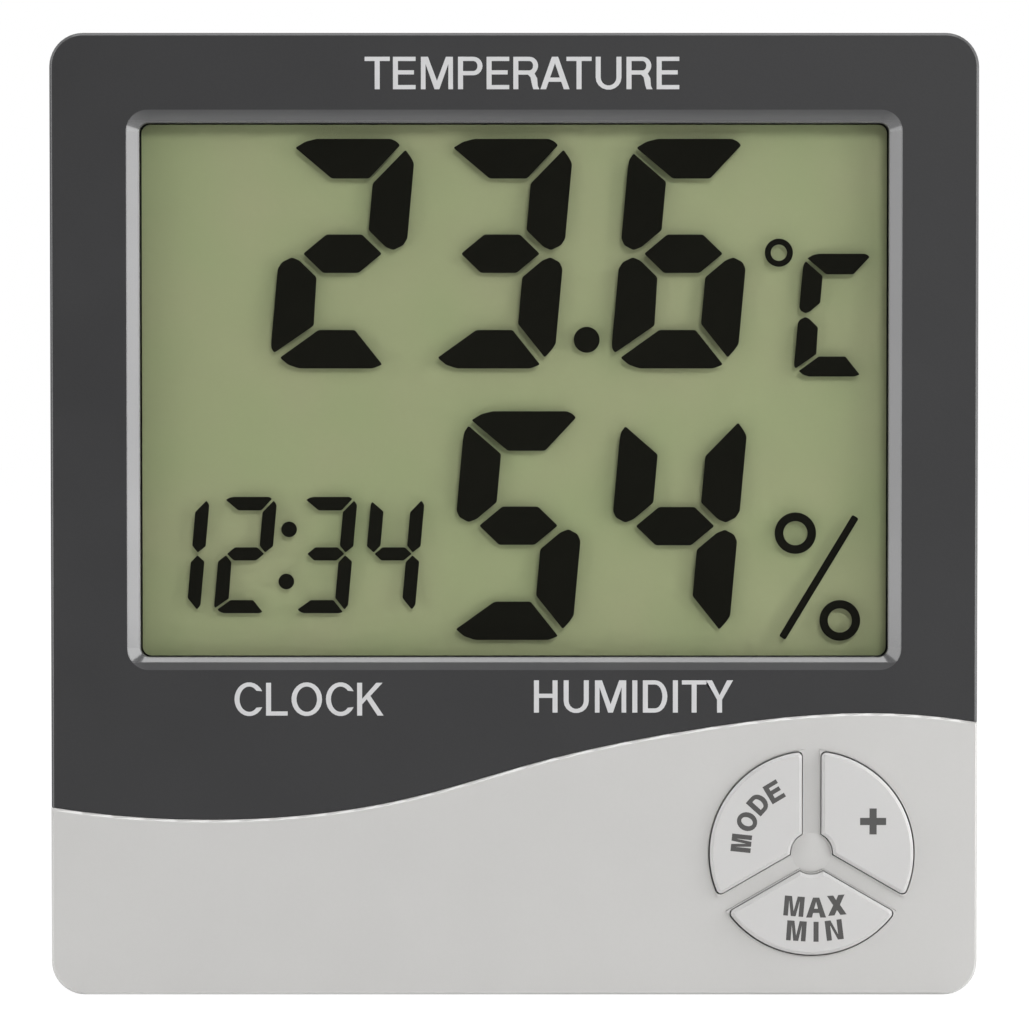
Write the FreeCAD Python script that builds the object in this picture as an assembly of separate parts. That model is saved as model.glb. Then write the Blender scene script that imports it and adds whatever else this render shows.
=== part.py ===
"""Desk thermometer, hygrometer and clock with a large liquid crystal display.

All lengths are in millimetres. The front faces -Y, +X is to the right as seen from the front, and +Z is
up. The origin is at the centre of the overall box, at its base.
"""
import FreeCAD, Part
import math
import os

V = FreeCAD.Vector
ACROSS = V(1, 0, 0)
BACK = V(0, 1, 0)

# Case
wall = 2.0
corner_radius = 3.6
front_edge_chamfer = 0.25
back_edge_radius = 2.2
shadow_gap = 0.4
front_shell_depth = 12.9
lip_length = 1.5
lip_thickness = 0.9
lip_clearance = 0.1
overrun = 1.0
same_place = 0.002

# Display window and the dark bezel round it
window_width = 80.35
window_height = 57.3
window_side = 9.475
window_top = 9.5
window_bottom_margin = 9.8
window_radius = 1.0
window_slope = 1.3
bezel_step = 0.25
bezel_thickness = 2.0
bezel_seam = 0.06
bezel_edge_chamfer = 0.3
seat_thickness = 1.5
hook_width = 5.0
hook_thickness = 1.0
hook_barb = 0.7
hook_barb_height = 0.9
hook_clearance = 0.1

# Light front panel under the wave line
panel_thickness = 2.2
wave_overlap = 1.6
wave_x_shares = (-0.5, -0.335, -0.107, 0.023, 0.195, 0.385, 0.5)
wave_z_shares = (0.556, 0.519, 0.587, 0.688, 0.787, 0.836, 0.808)

# Three keys round a hub, in a web of three spokes
key_ring_radius = 11.1
key_ring_side_margin = 6.7
key_ring_bottom_margin = 4.2
spoke_width = 1.7
spoke_angles = (90, 210, 330)
key_half_angle = 60
hub_radius = 2.1
hub_dome_height = 0.35
key_gap = 0.2
key_proud = 0.9
key_edge_chamfer = 0.35
key_corner_radius = 0.5
key_wall = 1.2
key_flange_width = 1.2
key_flange_thickness = 0.8
key_flange_gap = 0.1
key_post_reach = 1.5
key_post_rib = 0.9
key_centre_share = 0.585

# Tact switches under the keys
front_switch_size = 4.6
front_switch_height = 1.8
front_plunger_radius = 1.1
front_plunger_rise = 0.8
plunger_clearance = 0.05
plunger_depth = 1.0
switch_floor = 0.2
switch_chamfer_share = 0.125

# Display glass, its film, holder and contact strip
glass_gap = 0.1
glass_thickness = 1.1
glass_margin = 1.15
glass_ledge = 2.6
glass_clearance = 0.4
film_thickness = 0.2
holder_thickness = 1.15
holder_width = 3.0
strip_height = 1.6
strip_end_margin = 3.0

# Circuit board
board_thickness = 1.0
board_edge_gap = 1.0
board_bottom_gap = 1.5
board_overhang = 6.0
board_leg_margin = 2.7
board_notch_gap = 0.6

# Pads that the board lies on, and ribs of the back cover that clamp it there
board_pad_inset = 5.05
board_pad_reach = 1.9
board_pad_z_shares = (0.11, 0.86)
board_rib_thickness = 1.2
board_rib_gap = 0.1

# Screws that hold the two halves of the case together, and their posts
housing_screw_inset = 5.65
housing_post_reach = 2.1
housing_screw_radius = 1.1
housing_screw_bite = 8.0
screw_clearance = 0.05
screw_slot_width = 0.5
screw_slot_depth = 0.7
screw_slot_share = 0.62
housing_screw_head_radius = 2.1
housing_screw_head_height = 1.4
housing_pocket_depth = 4.6
housing_pocket_gap = 0.3
housing_pocket_wall = 0.8
boss_bite = 0.5

# Parts on the board
blob_radius = 5.0
blob_height = 1.3
blob_x = -6.0
blob_drop = 11.0
crystal_radius = 1.0
crystal_length = 6.0
crystal_lead_width = 0.4
crystal_lead_length = 1.6
crystal_x = 3.5
chip_length = 2.0
chip_width = 1.2
chip_height = 0.6
chip_pitch = 4.0
chip_columns = 5
chip_rows = 2
chips_x = 14.0
chips_drop = 15.0
sensor_width = 9.0
sensor_height = 11.0
sensor_thickness = 1.8
sensor_slit = 0.9
sensor_slits = 4
sensor_inset = 15.5
sensor_top = 19.0
bead_radius = 0.9
bead_standoff = 2.4
bead_length = 1.6
bead_lead_width = 0.35

# Battery, its bay and contacts
cell_diameter = 10.5
cell_length = 44.5
cell_nub_length = 1.2
cell_nub_radius = 1.9
cell_edge_chamfer = 0.5
bay_side_gap = 0.75
bay_wall = 1.2
bay_floor_gap = 0.1
bay_to_board = 0.5
contact_thickness = 0.4
contact_width = 9.0
contact_leg_width = 1.6
contact_leg_gap = 0.2
contact_end_gap = 0.2
spring_length = 5.0
spring_wire = 0.7
spring_base_radius = 3.8
spring_tip_radius = 2.0
spring_turns = 2.5
spring_wire_sides = 6
plus_dimple_height = 0.6
plus_dimple_radius = 1.8

# Battery door
door_thickness = 1.6
door_gap = 0.25
door_seat_gap = 0.2
door_cell_gap = 0.3
door_rest_width = 1.0
door_seat_width = 1.5
door_seat_thickness = 1.4
toe_width = 6.0
toe_length = 1.2
toe_thickness = 0.6
toe_gap = 0.2
toe_side_share = 0.36
latch_width = 9.0
latch_length = 6.0
latch_slit = 0.6
grip_ribs = 4
grip_rib_width = 0.6
grip_rib_pitch = 1.4
grip_rib_height = 0.3
grip_recess = 0.5
grip_width = 14.0
thumb_notch_radius = 5.0
thumb_notch_depth = 0.9
door_bay_spacing = 3.0

# Fold-out stand
stand_width = 40.0
stand_length = 46.8
stand_foot = 3.2
stand_thickness = 2.6
stand_skin = 1.3
stand_rim = 1.8
stand_corner_radius = 3.0
stand_side_gap = 0.35
stand_face_gap = 0.2
stand_barrel_radius = 1.3
stand_top_gap = 0.5
stand_pin_radius = 0.9
stand_pin_clearance = 0.06
stand_pin_length = 1.2
stand_rib_width = 1.2
stand_rib_shares = (-0.17, 0.17)
tub_wall = 1.4
scoop_radius = 5.0
scoop_depth = 1.4
scoop_rise = 9.0

# Buttons on the back
button_radius = 2.0
button_gap = 0.15
button_recess = 0.3
button_edge_chamfer = 0.3
button_flange_width = 0.9
button_flange_thickness = 0.9
button_flange_gap = 0.1
button_stem_width = 2.2
button_side = 16.65
button_rise = 42.0
button_pitch = 10.0
rear_switch_size = 6.0
rear_switch_height = 3.5
rear_plunger_radius = 1.7
rear_plunger_rise = 0.8

# Openings in the back
keyhole_radius = 4.0
keyhole_slot_width = 3.6
keyhole_drop = 19.0
keyhole_slot_length = 6.5
vent_width = 1.2
vent_length = 12.0
vent_pitch = 2.6
vent_count = 5

# Planes from front to back, with the whole depth centred on the origin
depth_in_front_of_board = (
    key_proud + bezel_step + bezel_thickness + glass_gap + 2 * glass_thickness
    + film_thickness + holder_thickness
)
depth_behind_board = (
    bay_to_board + bay_wall + bay_floor_gap + cell_diameter + door_cell_gap + door_thickness
)
case_depth = depth_in_front_of_board + board_thickness + depth_behind_board
key_face = -case_depth / 2
panel_face = key_face + key_proud
panel_back = panel_face + panel_thickness
bezel_face = panel_face + bezel_step
seat_face = bezel_face + bezel_thickness
seat_back = seat_face + seat_thickness
front_glass_face = seat_face + glass_gap
rear_glass_face = front_glass_face + glass_thickness
film_face = rear_glass_face + glass_thickness
holder_face = film_face + film_thickness
board_face = holder_face + holder_thickness
board_back = board_face + board_thickness
bay_floor_outside = board_back + bay_to_board
bay_floor = bay_floor_outside + bay_wall
cell_y = bay_floor + bay_floor_gap + cell_diameter / 2
back_face = case_depth / 2
back_inside = back_face - wall
rim_face = panel_face + front_shell_depth
cover_face = rim_face + shadow_gap
back_wall_cut = (back_inside - overrun, back_face + overrun)
door_inside = back_face - door_thickness

# Outline seen from the front
case_width = window_width + 2 * window_side
half_width = case_width / 2
key_ring_x = half_width - key_ring_side_margin - key_ring_radius
key_ring_z = key_ring_bottom_margin + key_ring_radius
window_low = key_ring_z + key_ring_radius + window_bottom_margin
case_height = window_low + window_height + window_top
window_high = case_height - window_top
glass_half_width = window_width / 2 + glass_margin
glass_high = window_high + glass_margin
rear_glass_low = window_low - glass_margin
front_glass_low = rear_glass_low - glass_ledge
board_half_width = half_width - wall - board_edge_gap
board_high = case_height - wall - board_bottom_gap
board_low = front_glass_low - board_overhang
board_leg_low = wall + board_bottom_gap
board_leg_x = key_ring_x - key_ring_radius - board_leg_margin
housing_screw_places = [
    (side * (half_width - housing_screw_inset), z)
    for side in (-1, 1)
    for z in (housing_screw_inset, case_height - housing_screw_inset)
]
board_pad_places = [
    (side * (half_width - board_pad_inset), board_low + share * (board_high - board_low))
    for side in (-1, 1)
    for share in board_pad_z_shares
]

# Stand, bay and door places on the back
stand_hinge_z = stand_foot + stand_length
stand_outside = back_face - stand_face_gap
stand_hinge_y = stand_outside - stand_thickness / 2
stand_recess_floor = stand_outside - stand_thickness - stand_face_gap
stand_recess_half = stand_width / 2 + stand_side_gap
stand_recess_low = stand_foot - stand_side_gap
stand_recess_high = stand_hinge_z + stand_barrel_radius + stand_top_gap
cell_radius = cell_diameter / 2
bay_half_height = cell_radius + bay_side_gap
door_half_height = bay_half_height + bay_wall + door_rest_width
bay_z = stand_recess_high + tub_wall + door_bay_spacing + door_half_height
bay_contents = cell_length + spring_length + plus_dimple_height + 2 * contact_thickness
bay_half_length = bay_contents / 2 + contact_end_gap
door_half_width = bay_half_length + bay_wall + door_rest_width
door_low = bay_z - door_half_height
door_high = bay_z + door_half_height
cell_minus_x = -bay_half_length + contact_end_gap / 2 + contact_thickness + spring_length
keyhole_z = case_height - keyhole_drop
sensor_x = half_width - sensor_inset
sensor_z = case_height - sensor_top


def rounded_rectangle(x_low, x_high, z_low, z_high, radius):
    """Face in the XZ plane with rounded corners."""
    corner = radius * (1 - math.sqrt(0.5))
    points = [
        (x_low + radius, z_low), (x_high - radius, z_low),
        (x_high, z_low + radius), (x_high, z_high - radius),
        (x_high - radius, z_high), (x_low + radius, z_high),
        (x_low, z_high - radius), (x_low, z_low + radius),
    ]
    middles = [
        (x_high - corner, z_low + corner), (x_high - corner, z_high - corner),
        (x_low + corner, z_high - corner), (x_low + corner, z_low + corner),
    ]
    places = [V(x, 0, z) for x, z in points]
    edges = []
    for side in range(4):
        start, end = places[2 * side], places[2 * side + 1]
        after = places[(2 * side + 2) % len(places)]
        x, z = middles[side]
        edges.append(Part.makeLine(start, end))
        edges.append(Part.Arc(end, V(x, 0, z), after).toShape())
    return Part.Face(Part.Wire(edges))


def polygon(points):
    """Face in the XZ plane from straight lines."""
    places = [V(x, 0, z) for x, z in points]
    return Part.Face(Part.makePolygon(places + places[:1]))


def thicken(face, y_low, y_high):
    """Solid between two Y planes with this face as its outline."""
    moved = face.copy()
    moved.translate(V(0, y_low, 0))
    return moved.extrude(V(0, y_high - y_low, 0))


def block(x_low, x_high, y_low, y_high, z_low, z_high):
    size = (x_high - x_low, y_high - y_low, z_high - z_low)
    return Part.makeBox(*size, V(x_low, y_low, z_low))


def rod_back(x, z, radius, y_low, y_high):
    """Round rod along Y."""
    return Part.makeCylinder(radius, y_high - y_low, V(x, y_low, z), BACK)


def square_post(x, z, reach, y_low, y_high):
    return block(x - reach, x + reach, y_low, y_high, z - reach, z + reach)


def rod_across(y, z, radius, x_low, x_high):
    """Round rod along X."""
    return Part.makeCylinder(radius, x_high - x_low, V(x_low, y, z), ACROSS)


def joined(shape, others):
    """One solid from a shape and what is fused to it."""
    return shape.fuse(others).removeSplitter()


def only_solid(shape):
    """The single solid of a result, or the shape itself if it has more."""
    return shape.Solids[0] if len(shape.Solids) == 1 else shape


def edges_on_plane(shape, y, keep=lambda edge: True):
    """Edges that lie in one Y plane."""
    return [
        edge for edge in shape.Edges
        if abs(edge.BoundBox.YMin - y) < same_place and abs(edge.BoundBox.YMax - y) < same_place
        and keep(edge)
    ]


def case_outline(inset):
    """Outline of the case, drawn in by a distance."""
    radius = max(corner_radius - inset, corner_radius / 4)
    return rounded_rectangle(-half_width + inset, half_width - inset, inset, case_height - inset, radius)


def wave_region(shift, above):
    """Face above or below the wave line, with the line moved up by a distance."""
    points = [
        V(x * case_width, 0, z * window_low + shift)
        for x, z in zip(wave_x_shares, wave_z_shares)
    ]
    curve = Part.BSplineCurve()
    curve.interpolate(points)
    first, last = points[0], points[-1]
    outer_left = V(first.x - wall, 0, first.z)
    outer_right = V(last.x + wall, 0, last.z)
    level = case_height + wall if above else -wall
    far_right = V(outer_right.x, 0, level)
    far_left = V(outer_left.x, 0, level)
    edges = [
        Part.makeLine(outer_left, first), curve.toShape(), Part.makeLine(last, outer_right),
        Part.makeLine(outer_right, far_right), Part.makeLine(far_right, far_left),
        Part.makeLine(far_left, outer_left),
    ]
    return Part.Face(Part.Wire(edges))


def spoke_point(angle, distance):
    """Place at an angle and a distance from the hub, in the XZ plane."""
    turn = math.radians(angle)
    return (key_ring_x + distance * math.cos(turn), key_ring_z + distance * math.sin(turn))


def key_sector(angle, inset, reach, y_low, y_high):
    """Third of the key ring round one middle angle, drawn in from its spokes and hub.

    The inset moves its two straight sides and its notch away from the web, and reach is its outer radius.
    """
    half_spoke = spoke_width / 2 + inset
    apex = half_spoke / math.sin(math.radians(key_half_angle))
    far = 3 * reach
    x0, z0 = spoke_point(angle, apex)
    corners = [(x0, z0)]
    for side in (-key_half_angle, key_half_angle):
        turn = math.radians(angle + side)
        corners.append((x0 + far * math.cos(turn), z0 + far * math.sin(turn)))
    wedge = thicken(polygon(corners), y_low, y_high)
    ring = rod_back(key_ring_x, key_ring_z, reach, y_low, y_high)
    hub = rod_back(key_ring_x, key_ring_z, hub_radius + inset, y_low, y_high)
    return wedge.common(ring).cut(hub)


def key_angles():
    """Middle angles of the three keys, between the spokes."""
    return [angle + key_half_angle for angle in spoke_angles]


def window_cut(y_low, y_high):
    face = rounded_rectangle(-window_width / 2, window_width / 2, window_low, window_high, window_radius)
    return thicken(face, y_low, y_high)


def bezel_hooks(barb, clearance):
    """Snap hooks behind the bezel, or with a clearance the slots that they pass through in its seat.

    Each hook is a flat stem with a barb that points away from the window.
    """
    side = (glass_half_width + half_width - wall) / 2
    top = (glass_high + case_height - wall) / 2
    low = (front_glass_low + wave_z_shares[0] * window_low) / 2
    middle = (window_low + window_high) / 2
    half = hook_width / 2 + clearance
    thick = hook_thickness / 2 + clearance
    start = seat_face - bezel_thickness / 4
    end = seat_back + hook_barb_height
    hooks = []
    for x, z, across, up in (
        (-side, middle, -1, 0), (side, middle, 1, 0),
        (-side / 2, top, 0, 1), (side / 2, top, 0, 1), (-side / 2, low, 0, -1),
    ):
        reach_x = thick if across else half
        reach_z = thick if up else half
        hook = block(x - reach_x, x + reach_x, start, end, z - reach_z, z + reach_z)
        if barb:
            tip = block(x - reach_x, x + reach_x, seat_back, end, z - reach_z, z + reach_z)
            tip.translate(V(across * hook_barb, 0, up * hook_barb))
            hook = joined(hook, [tip])
        hooks.append(hook)
    return hooks


def make_upper_bezel():
    plate = thicken(case_outline(0), bezel_face, seat_face)
    above_wave = wave_region(bezel_seam, True)
    plate = plate.common(thicken(above_wave, bezel_face - overrun, seat_face + overrun))
    margin = bezel_edge_chamfer / 2
    rim = edges_on_plane(
        plate, bezel_face,
        lambda edge: edge.BoundBox.ZMax > window_low or abs(edge.CenterOfMass.x) > half_width - margin,
    )
    plate = plate.makeChamfer(bezel_edge_chamfer, rim)
    plate = plate.cut(window_cut(bezel_face - overrun, seat_face + overrun))
    inside = edges_on_plane(
        plate, bezel_face,
        lambda edge: abs(edge.CenterOfMass.x) < window_width / 2 + margin
        and window_low - margin < edge.CenterOfMass.z < window_high + margin,
    )
    plate = plate.makeChamfer(window_slope, inside)
    return joined(plate, bezel_hooks(True, 0))


def make_front_shell():
    shell = thicken(case_outline(0), panel_face, rim_face)
    shell = shell.makeChamfer(front_edge_chamfer, edges_on_plane(shell, panel_face))
    step = thicken(wave_region(0, False), panel_face, rim_face)
    crest = edges_on_plane(step, panel_face, lambda edge: edge.Curve.TypeId == "Part::GeomBSplineCurve")
    step = step.makeChamfer(front_edge_chamfer, crest)
    behind = block(-case_width, case_width, seat_face, rim_face, -overrun, case_height + overrun)
    shell = shell.common(step.fuse(behind))

    inner = case_outline(wall)
    low_room = thicken(inner, panel_back, rim_face + overrun)
    low_room = low_room.common(thicken(wave_region(-wave_overlap, False), panel_back, rim_face + overrun))
    shell = shell.cut([low_room, thicken(inner, seat_back, rim_face + overrun)])

    reach = glass_half_width + glass_clearance
    shell = shell.cut(block(
        -reach, reach, seat_face - overrun, seat_back + overrun,
        front_glass_low - glass_clearance, glass_high + glass_clearance,
    ))

    # The three key openings leave the spokes, and the hub gets its low dome
    openings = [
        key_sector(angle, 0, key_ring_radius, panel_face - overrun, panel_back + overrun)
        for angle in key_angles()
    ]
    shell = shell.cut(openings)
    dome_ball = (hub_radius ** 2 + hub_dome_height ** 2) / (2 * hub_dome_height)
    ball = Part.makeSphere(dome_ball, V(key_ring_x, panel_face - hub_dome_height + dome_ball, key_ring_z))
    around = rod_back(key_ring_x, key_ring_z, hub_radius, panel_face - overrun, panel_face + overrun / 2)
    dome = ball.common(around)

    posts = [dome]
    for x, z in housing_screw_places:
        low_start = panel_face + panel_thickness / 2
        start = low_start if z < window_low else seat_face + seat_thickness / 2
        posts.append(square_post(x, z, housing_post_reach, start, rim_face + shadow_gap / 2))
    for x, z in board_pad_places:
        posts.append(square_post(x, z, board_pad_reach, seat_back - seat_thickness / 2, board_face))
    shell = joined(shell, posts)

    holes = []
    for x, z in housing_screw_places:
        tip = cover_face - housing_screw_bite - screw_clearance
        holes.append(rod_back(x, z, housing_screw_radius + screw_clearance, tip, rim_face + overrun))
    return shell.cut(holes + bezel_hooks(False, hook_clearance))


def key_post_place(angle):
    return spoke_point(angle, key_centre_share * key_ring_radius)


def front_plunger_face():
    return board_face - front_switch_height - front_plunger_rise


def key_hollow(angle, y_high):
    """Three-sided room in the back of a key, parallel to its sides."""
    near = (spoke_width / 2 + key_gap + key_wall) / math.sin(math.radians(key_half_angle))
    far = (key_ring_radius - key_gap - key_wall) / 2
    start = spoke_point(angle, max(near, 2 * hub_radius))
    ends = []
    for side in (-key_half_angle, key_half_angle):
        turn = math.radians(angle + side)
        ends.append((start[0] + far * math.cos(turn), start[1] + far * math.sin(turn)))
    return thicken(polygon([start, *ends]), key_face + key_wall, y_high)


def make_key(angle):
    """Hollow key cap with a retaining flange behind the panel and a post over its switch."""
    flange_face = panel_back + key_flange_gap
    flange_back = flange_face + key_flange_thickness
    outer = key_ring_radius - key_gap
    cap = key_sector(angle, key_gap, outer, key_face, flange_back)
    upright = [
        edge for edge in cap.Edges
        if edge.BoundBox.YLength > wall and math.hypot(
            edge.CenterOfMass.x - key_ring_x, edge.CenterOfMass.z - key_ring_z) > key_ring_radius / 2
    ]
    cap = cap.makeFillet(key_corner_radius, upright)
    cap = cap.makeChamfer(key_edge_chamfer, edges_on_plane(cap, key_face))
    flange = key_sector(angle, key_gap, key_ring_radius + key_flange_width, flange_face, flange_back)
    x, z = key_post_place(angle)
    post_face, post_end = key_face + key_wall / 2, front_plunger_face()
    post = crossed_bars(x, z, key_post_reach, key_post_rib, post_face, post_end)
    cap = joined(cap, [flange]).cut(key_hollow(angle, flange_back + overrun))
    return joined(cap, post)


def make_front_plunger(angle):
    x, z = key_post_place(angle)
    inside = board_face - front_switch_height
    return rod_back(x, z, front_plunger_radius, front_plunger_face(), inside + plunger_depth)


def switch_body(x, z, size, height, radius, board_plane, toward):
    """Square switch housing on one face of the board, with the hole that its plunger runs in."""
    low = min(board_plane, board_plane + toward * height)
    high = max(board_plane, board_plane + toward * height)
    body = block(x - size / 2, x + size / 2, low, high, z - size / 2, z + size / 2)
    chamfer = size * switch_chamfer_share
    upright = [edge for edge in body.Edges if edge.BoundBox.YLength > height / 2]
    body = body.makeChamfer(chamfer, upright)
    if toward < 0:
        hole = rod_back(x, z, radius, low - overrun, high - switch_floor)
    else:
        hole = rod_back(x, z, radius, low + switch_floor, high + overrun)
    return body.cut(hole)


def make_front_switches():
    bodies = []
    hole_radius = front_plunger_radius + plunger_clearance
    for angle in key_angles():
        x, z = key_post_place(angle)
        body = switch_body(x, z, front_switch_size, front_switch_height, hole_radius, board_face, -1)
        bodies.append(body)
    return Part.makeCompound(bodies)


def display_layer(y_low, y_high, z_low):
    """Flat layer of the display, as wide as its glass."""
    return block(-glass_half_width, glass_half_width, y_low, y_high, z_low, glass_high)


def make_lcd_front_glass():
    return display_layer(front_glass_face, rear_glass_face, front_glass_low)


def make_lcd_rear_glass():
    return display_layer(rear_glass_face, film_face, rear_glass_low)


def make_lcd_reflector():
    return display_layer(film_face, holder_face, rear_glass_low)


def make_lcd_holder():
    """Frame with a cross in it, which keeps the display forward of the board."""
    reach = glass_half_width - holder_width
    low, high = rear_glass_low + holder_width, glass_high - holder_width
    bar = holder_width / 2
    middle = (low + high) / 2
    rooms = [
        block(x_low, x_high, holder_face - overrun, board_face + overrun, z_low, z_high)
        for x_low, x_high in ((-reach, -bar), (bar, reach))
        for z_low, z_high in ((low, middle - bar), (middle + bar, high))
    ]
    return display_layer(holder_face, board_face, rear_glass_low).cut(rooms)


def make_zebra_strip():
    z = (front_glass_low + rear_glass_low) / 2
    x = glass_half_width - strip_end_margin
    return block(-x, x, rear_glass_face, board_face, z - strip_height / 2, z + strip_height / 2)


def contact_leg_places():
    """Where the two battery contacts reach the board."""
    minus = -bay_half_length + contact_end_gap / 2 + contact_thickness / 2
    plus = bay_half_length - contact_end_gap / 2 - contact_thickness / 2
    return [(minus, bay_z), (plus, bay_z)]


def make_main_pcb():
    board = block(-board_half_width, board_half_width, board_face, board_back, board_low, board_high)
    leg = block(board_leg_x, board_half_width, board_face, board_back, board_leg_low, board_low + overrun)
    board = joined(board, [leg])
    cuts = []
    reach = housing_post_reach + board_notch_gap
    for x, z in housing_screw_places:
        cuts.append(toward_corner(x, z, reach, 0, board_face - overrun, board_back + overrun))
    return board.cut(cuts)


def make_controller_blob():
    """Low disc of epoxy on the back of the board."""
    return rod_back(blob_x, stand_hinge_z - blob_drop, blob_radius, board_back, board_back + blob_height)


def lead_strip(x, y, z, width, x_end):
    """Flat lead that runs along X from a can at height y and then down to the board."""
    half = width / 2
    along = block(min(x, x_end) - half, max(x, x_end) + half, y - half, y + half, z - half, z + half)
    down = block(x_end - half, x_end + half, board_back, y, z - half, z + half)
    return joined(along, [down])


def make_clock_crystal():
    """Small round can that lies on the board, with two leads bent down to it."""
    z = stand_hinge_z - blob_drop
    y = board_back + crystal_radius
    can = rod_across(y, z, crystal_radius, crystal_x, crystal_x + crystal_length)
    x_end = crystal_x - crystal_lead_length
    leads = [
        lead_strip(crystal_x, y, z + side * crystal_radius / 2, crystal_lead_width, x_end)
        for side in (-1, 1)
    ]
    return joined(can, leads)


def make_chip_parts():
    """Two rows of small chip resistors and capacitors."""
    chips = []
    for row in range(chip_rows):
        for column in range(chip_columns):
            x = chips_x + column * chip_pitch
            z = stand_hinge_z - chips_drop + row * chip_pitch
            chips.append(block(
                x - chip_length / 2, x + chip_length / 2, board_back, board_back + chip_height,
                z - chip_width / 2, z + chip_width / 2,
            ))
    return Part.makeCompound(chips)


def make_humidity_sensor():
    """Flat sensor case on the board behind the left vents, with slits in its cover."""
    x, z = -sensor_x, sensor_z
    body = block(
        x - sensor_width / 2, x + sensor_width / 2, board_back, board_back + sensor_thickness,
        z - sensor_height / 2, z + sensor_height / 2,
    )
    pitch = sensor_width / (sensor_slits + 1)
    slits = []
    for index in range(sensor_slits):
        slit_x = x - sensor_width / 2 + (index + 1) * pitch
        slits.append(block(
            slit_x - sensor_slit / 2, slit_x + sensor_slit / 2,
            board_back + sensor_thickness / 2, board_back + sensor_thickness + overrun,
            z - sensor_height / 2 + sensor_slit, z + sensor_height / 2 - sensor_slit,
        ))
    return body.cut(slits)


def make_thermistor():
    """Bead on two leads that stands off the board behind the right vents."""
    y = board_back + bead_standoff
    bead = rod_back(sensor_x, sensor_z, bead_radius, y, y + bead_length)
    half = bead_lead_width / 2
    leads = [
        square_post(sensor_x + side * bead_radius / 2, sensor_z, half, board_back, y + bead_length / 2)
        for side in (-1, 1)
    ]
    return joined(bead, leads)


def crossed_bars(x, z, reach, width, y_low, y_high):
    """Two bars along Y that cross at one place."""
    half = width / 2
    return [
        block(x - reach, x + reach, y_low, y_high, z - half, z + half),
        block(x - half, x + half, y_low, y_high, z - reach, z + reach),
    ]


def housing_screw_seat():
    return back_face - housing_pocket_depth


def make_housing_screws():
    """Flat head screws driven from the back, their heads on the floors of the pockets."""
    seat = housing_screw_seat()
    top = seat + housing_screw_head_height
    tip = cover_face - housing_screw_bite
    reach = housing_screw_head_radius * screw_slot_share
    screws = []
    for x, z in housing_screw_places:
        head = rod_back(x, z, housing_screw_head_radius, seat, top)
        screw = joined(head, [rod_back(x, z, housing_screw_radius, tip, seat)])
        slots = crossed_bars(x, z, reach, screw_slot_width, top - screw_slot_depth, top + overrun)
        screws.append(screw.cut(slots))
    return Part.makeCompound(screws)


def button_places():
    """The unit button and, below it, the reset button."""
    return {
        "unit": (button_side - half_width, button_rise),
        "reset": (button_side - half_width, button_rise - button_pitch),
    }


def door_opening(grow, y_low, y_high):
    reach = door_half_width + grow
    return block(-reach, reach, y_low, y_high, door_low - grow, door_high + grow)


def toe_centres():
    return [side * toe_side_share * 2 * door_half_width for side in (-1, 1)]


def keyhole_cut():
    """Round entry and the narrower slot above it."""
    entry = rod_back(0, keyhole_z, keyhole_radius, *back_wall_cut)
    top = keyhole_z + keyhole_slot_length
    half = keyhole_slot_width / 2
    slot = block(-half, half, *back_wall_cut, keyhole_z, top)
    end = rod_back(0, top, half, *back_wall_cut)
    return [entry, slot, end]


def vent_cuts():
    """A row of upright slots on each side, behind the sensors."""
    cuts = []
    for side in (-1, 1):
        for index in range(vent_count):
            x = side * sensor_x + (index - (vent_count - 1) / 2) * vent_pitch
            cuts.append(block(
                x - vent_width / 2, x + vent_width / 2, *back_wall_cut,
                sensor_z - vent_length / 2, sensor_z + vent_length / 2,
            ))
    return cuts


def toward_corner(x, z, reach, inset, y_low, y_high):
    """Block round a screw place that runs out to the case's nearest corner, less an inset."""
    side = half_width - inset
    x_low, x_high = (x - reach, side) if x > 0 else (-side, x + reach)
    z_low, z_high = (z - reach, case_height - inset) if z > window_low else (inset, z + reach)
    return block(x_low, x_high, y_low, y_high, z_low, z_high)


def cover_lips():
    """Straight ribs inside the four walls that centre the back cover in the front shell."""
    lips = []
    end = rim_face - lip_length
    root_end = cover_face + lip_length
    for side in (-1, 1):
        outer = half_width - wall - lip_clearance
        inner = outer - lip_thickness
        rooted = half_width - wall / 2
        reach = case_height / 2 - 2 * corner_radius
        middle = case_height / 2
        for deep, y_low, y_high in ((outer, end, root_end), (rooted, cover_face, root_end)):
            x_low, x_high = sorted((side * inner, side * deep))
            lips.append(block(x_low, x_high, y_low, y_high, middle - reach, middle + reach))
        outer = middle - wall - lip_clearance
        inner = outer - lip_thickness
        rooted = middle - wall / 2
        reach = half_width - 2 * corner_radius
        for deep, y_low, y_high in ((outer, end, root_end), (rooted, cover_face, root_end)):
            z_low, z_high = sorted((middle + side * inner, middle + side * deep))
            lips.append(block(-reach, reach, y_low, y_high, z_low, z_high))
    return lips


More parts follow.
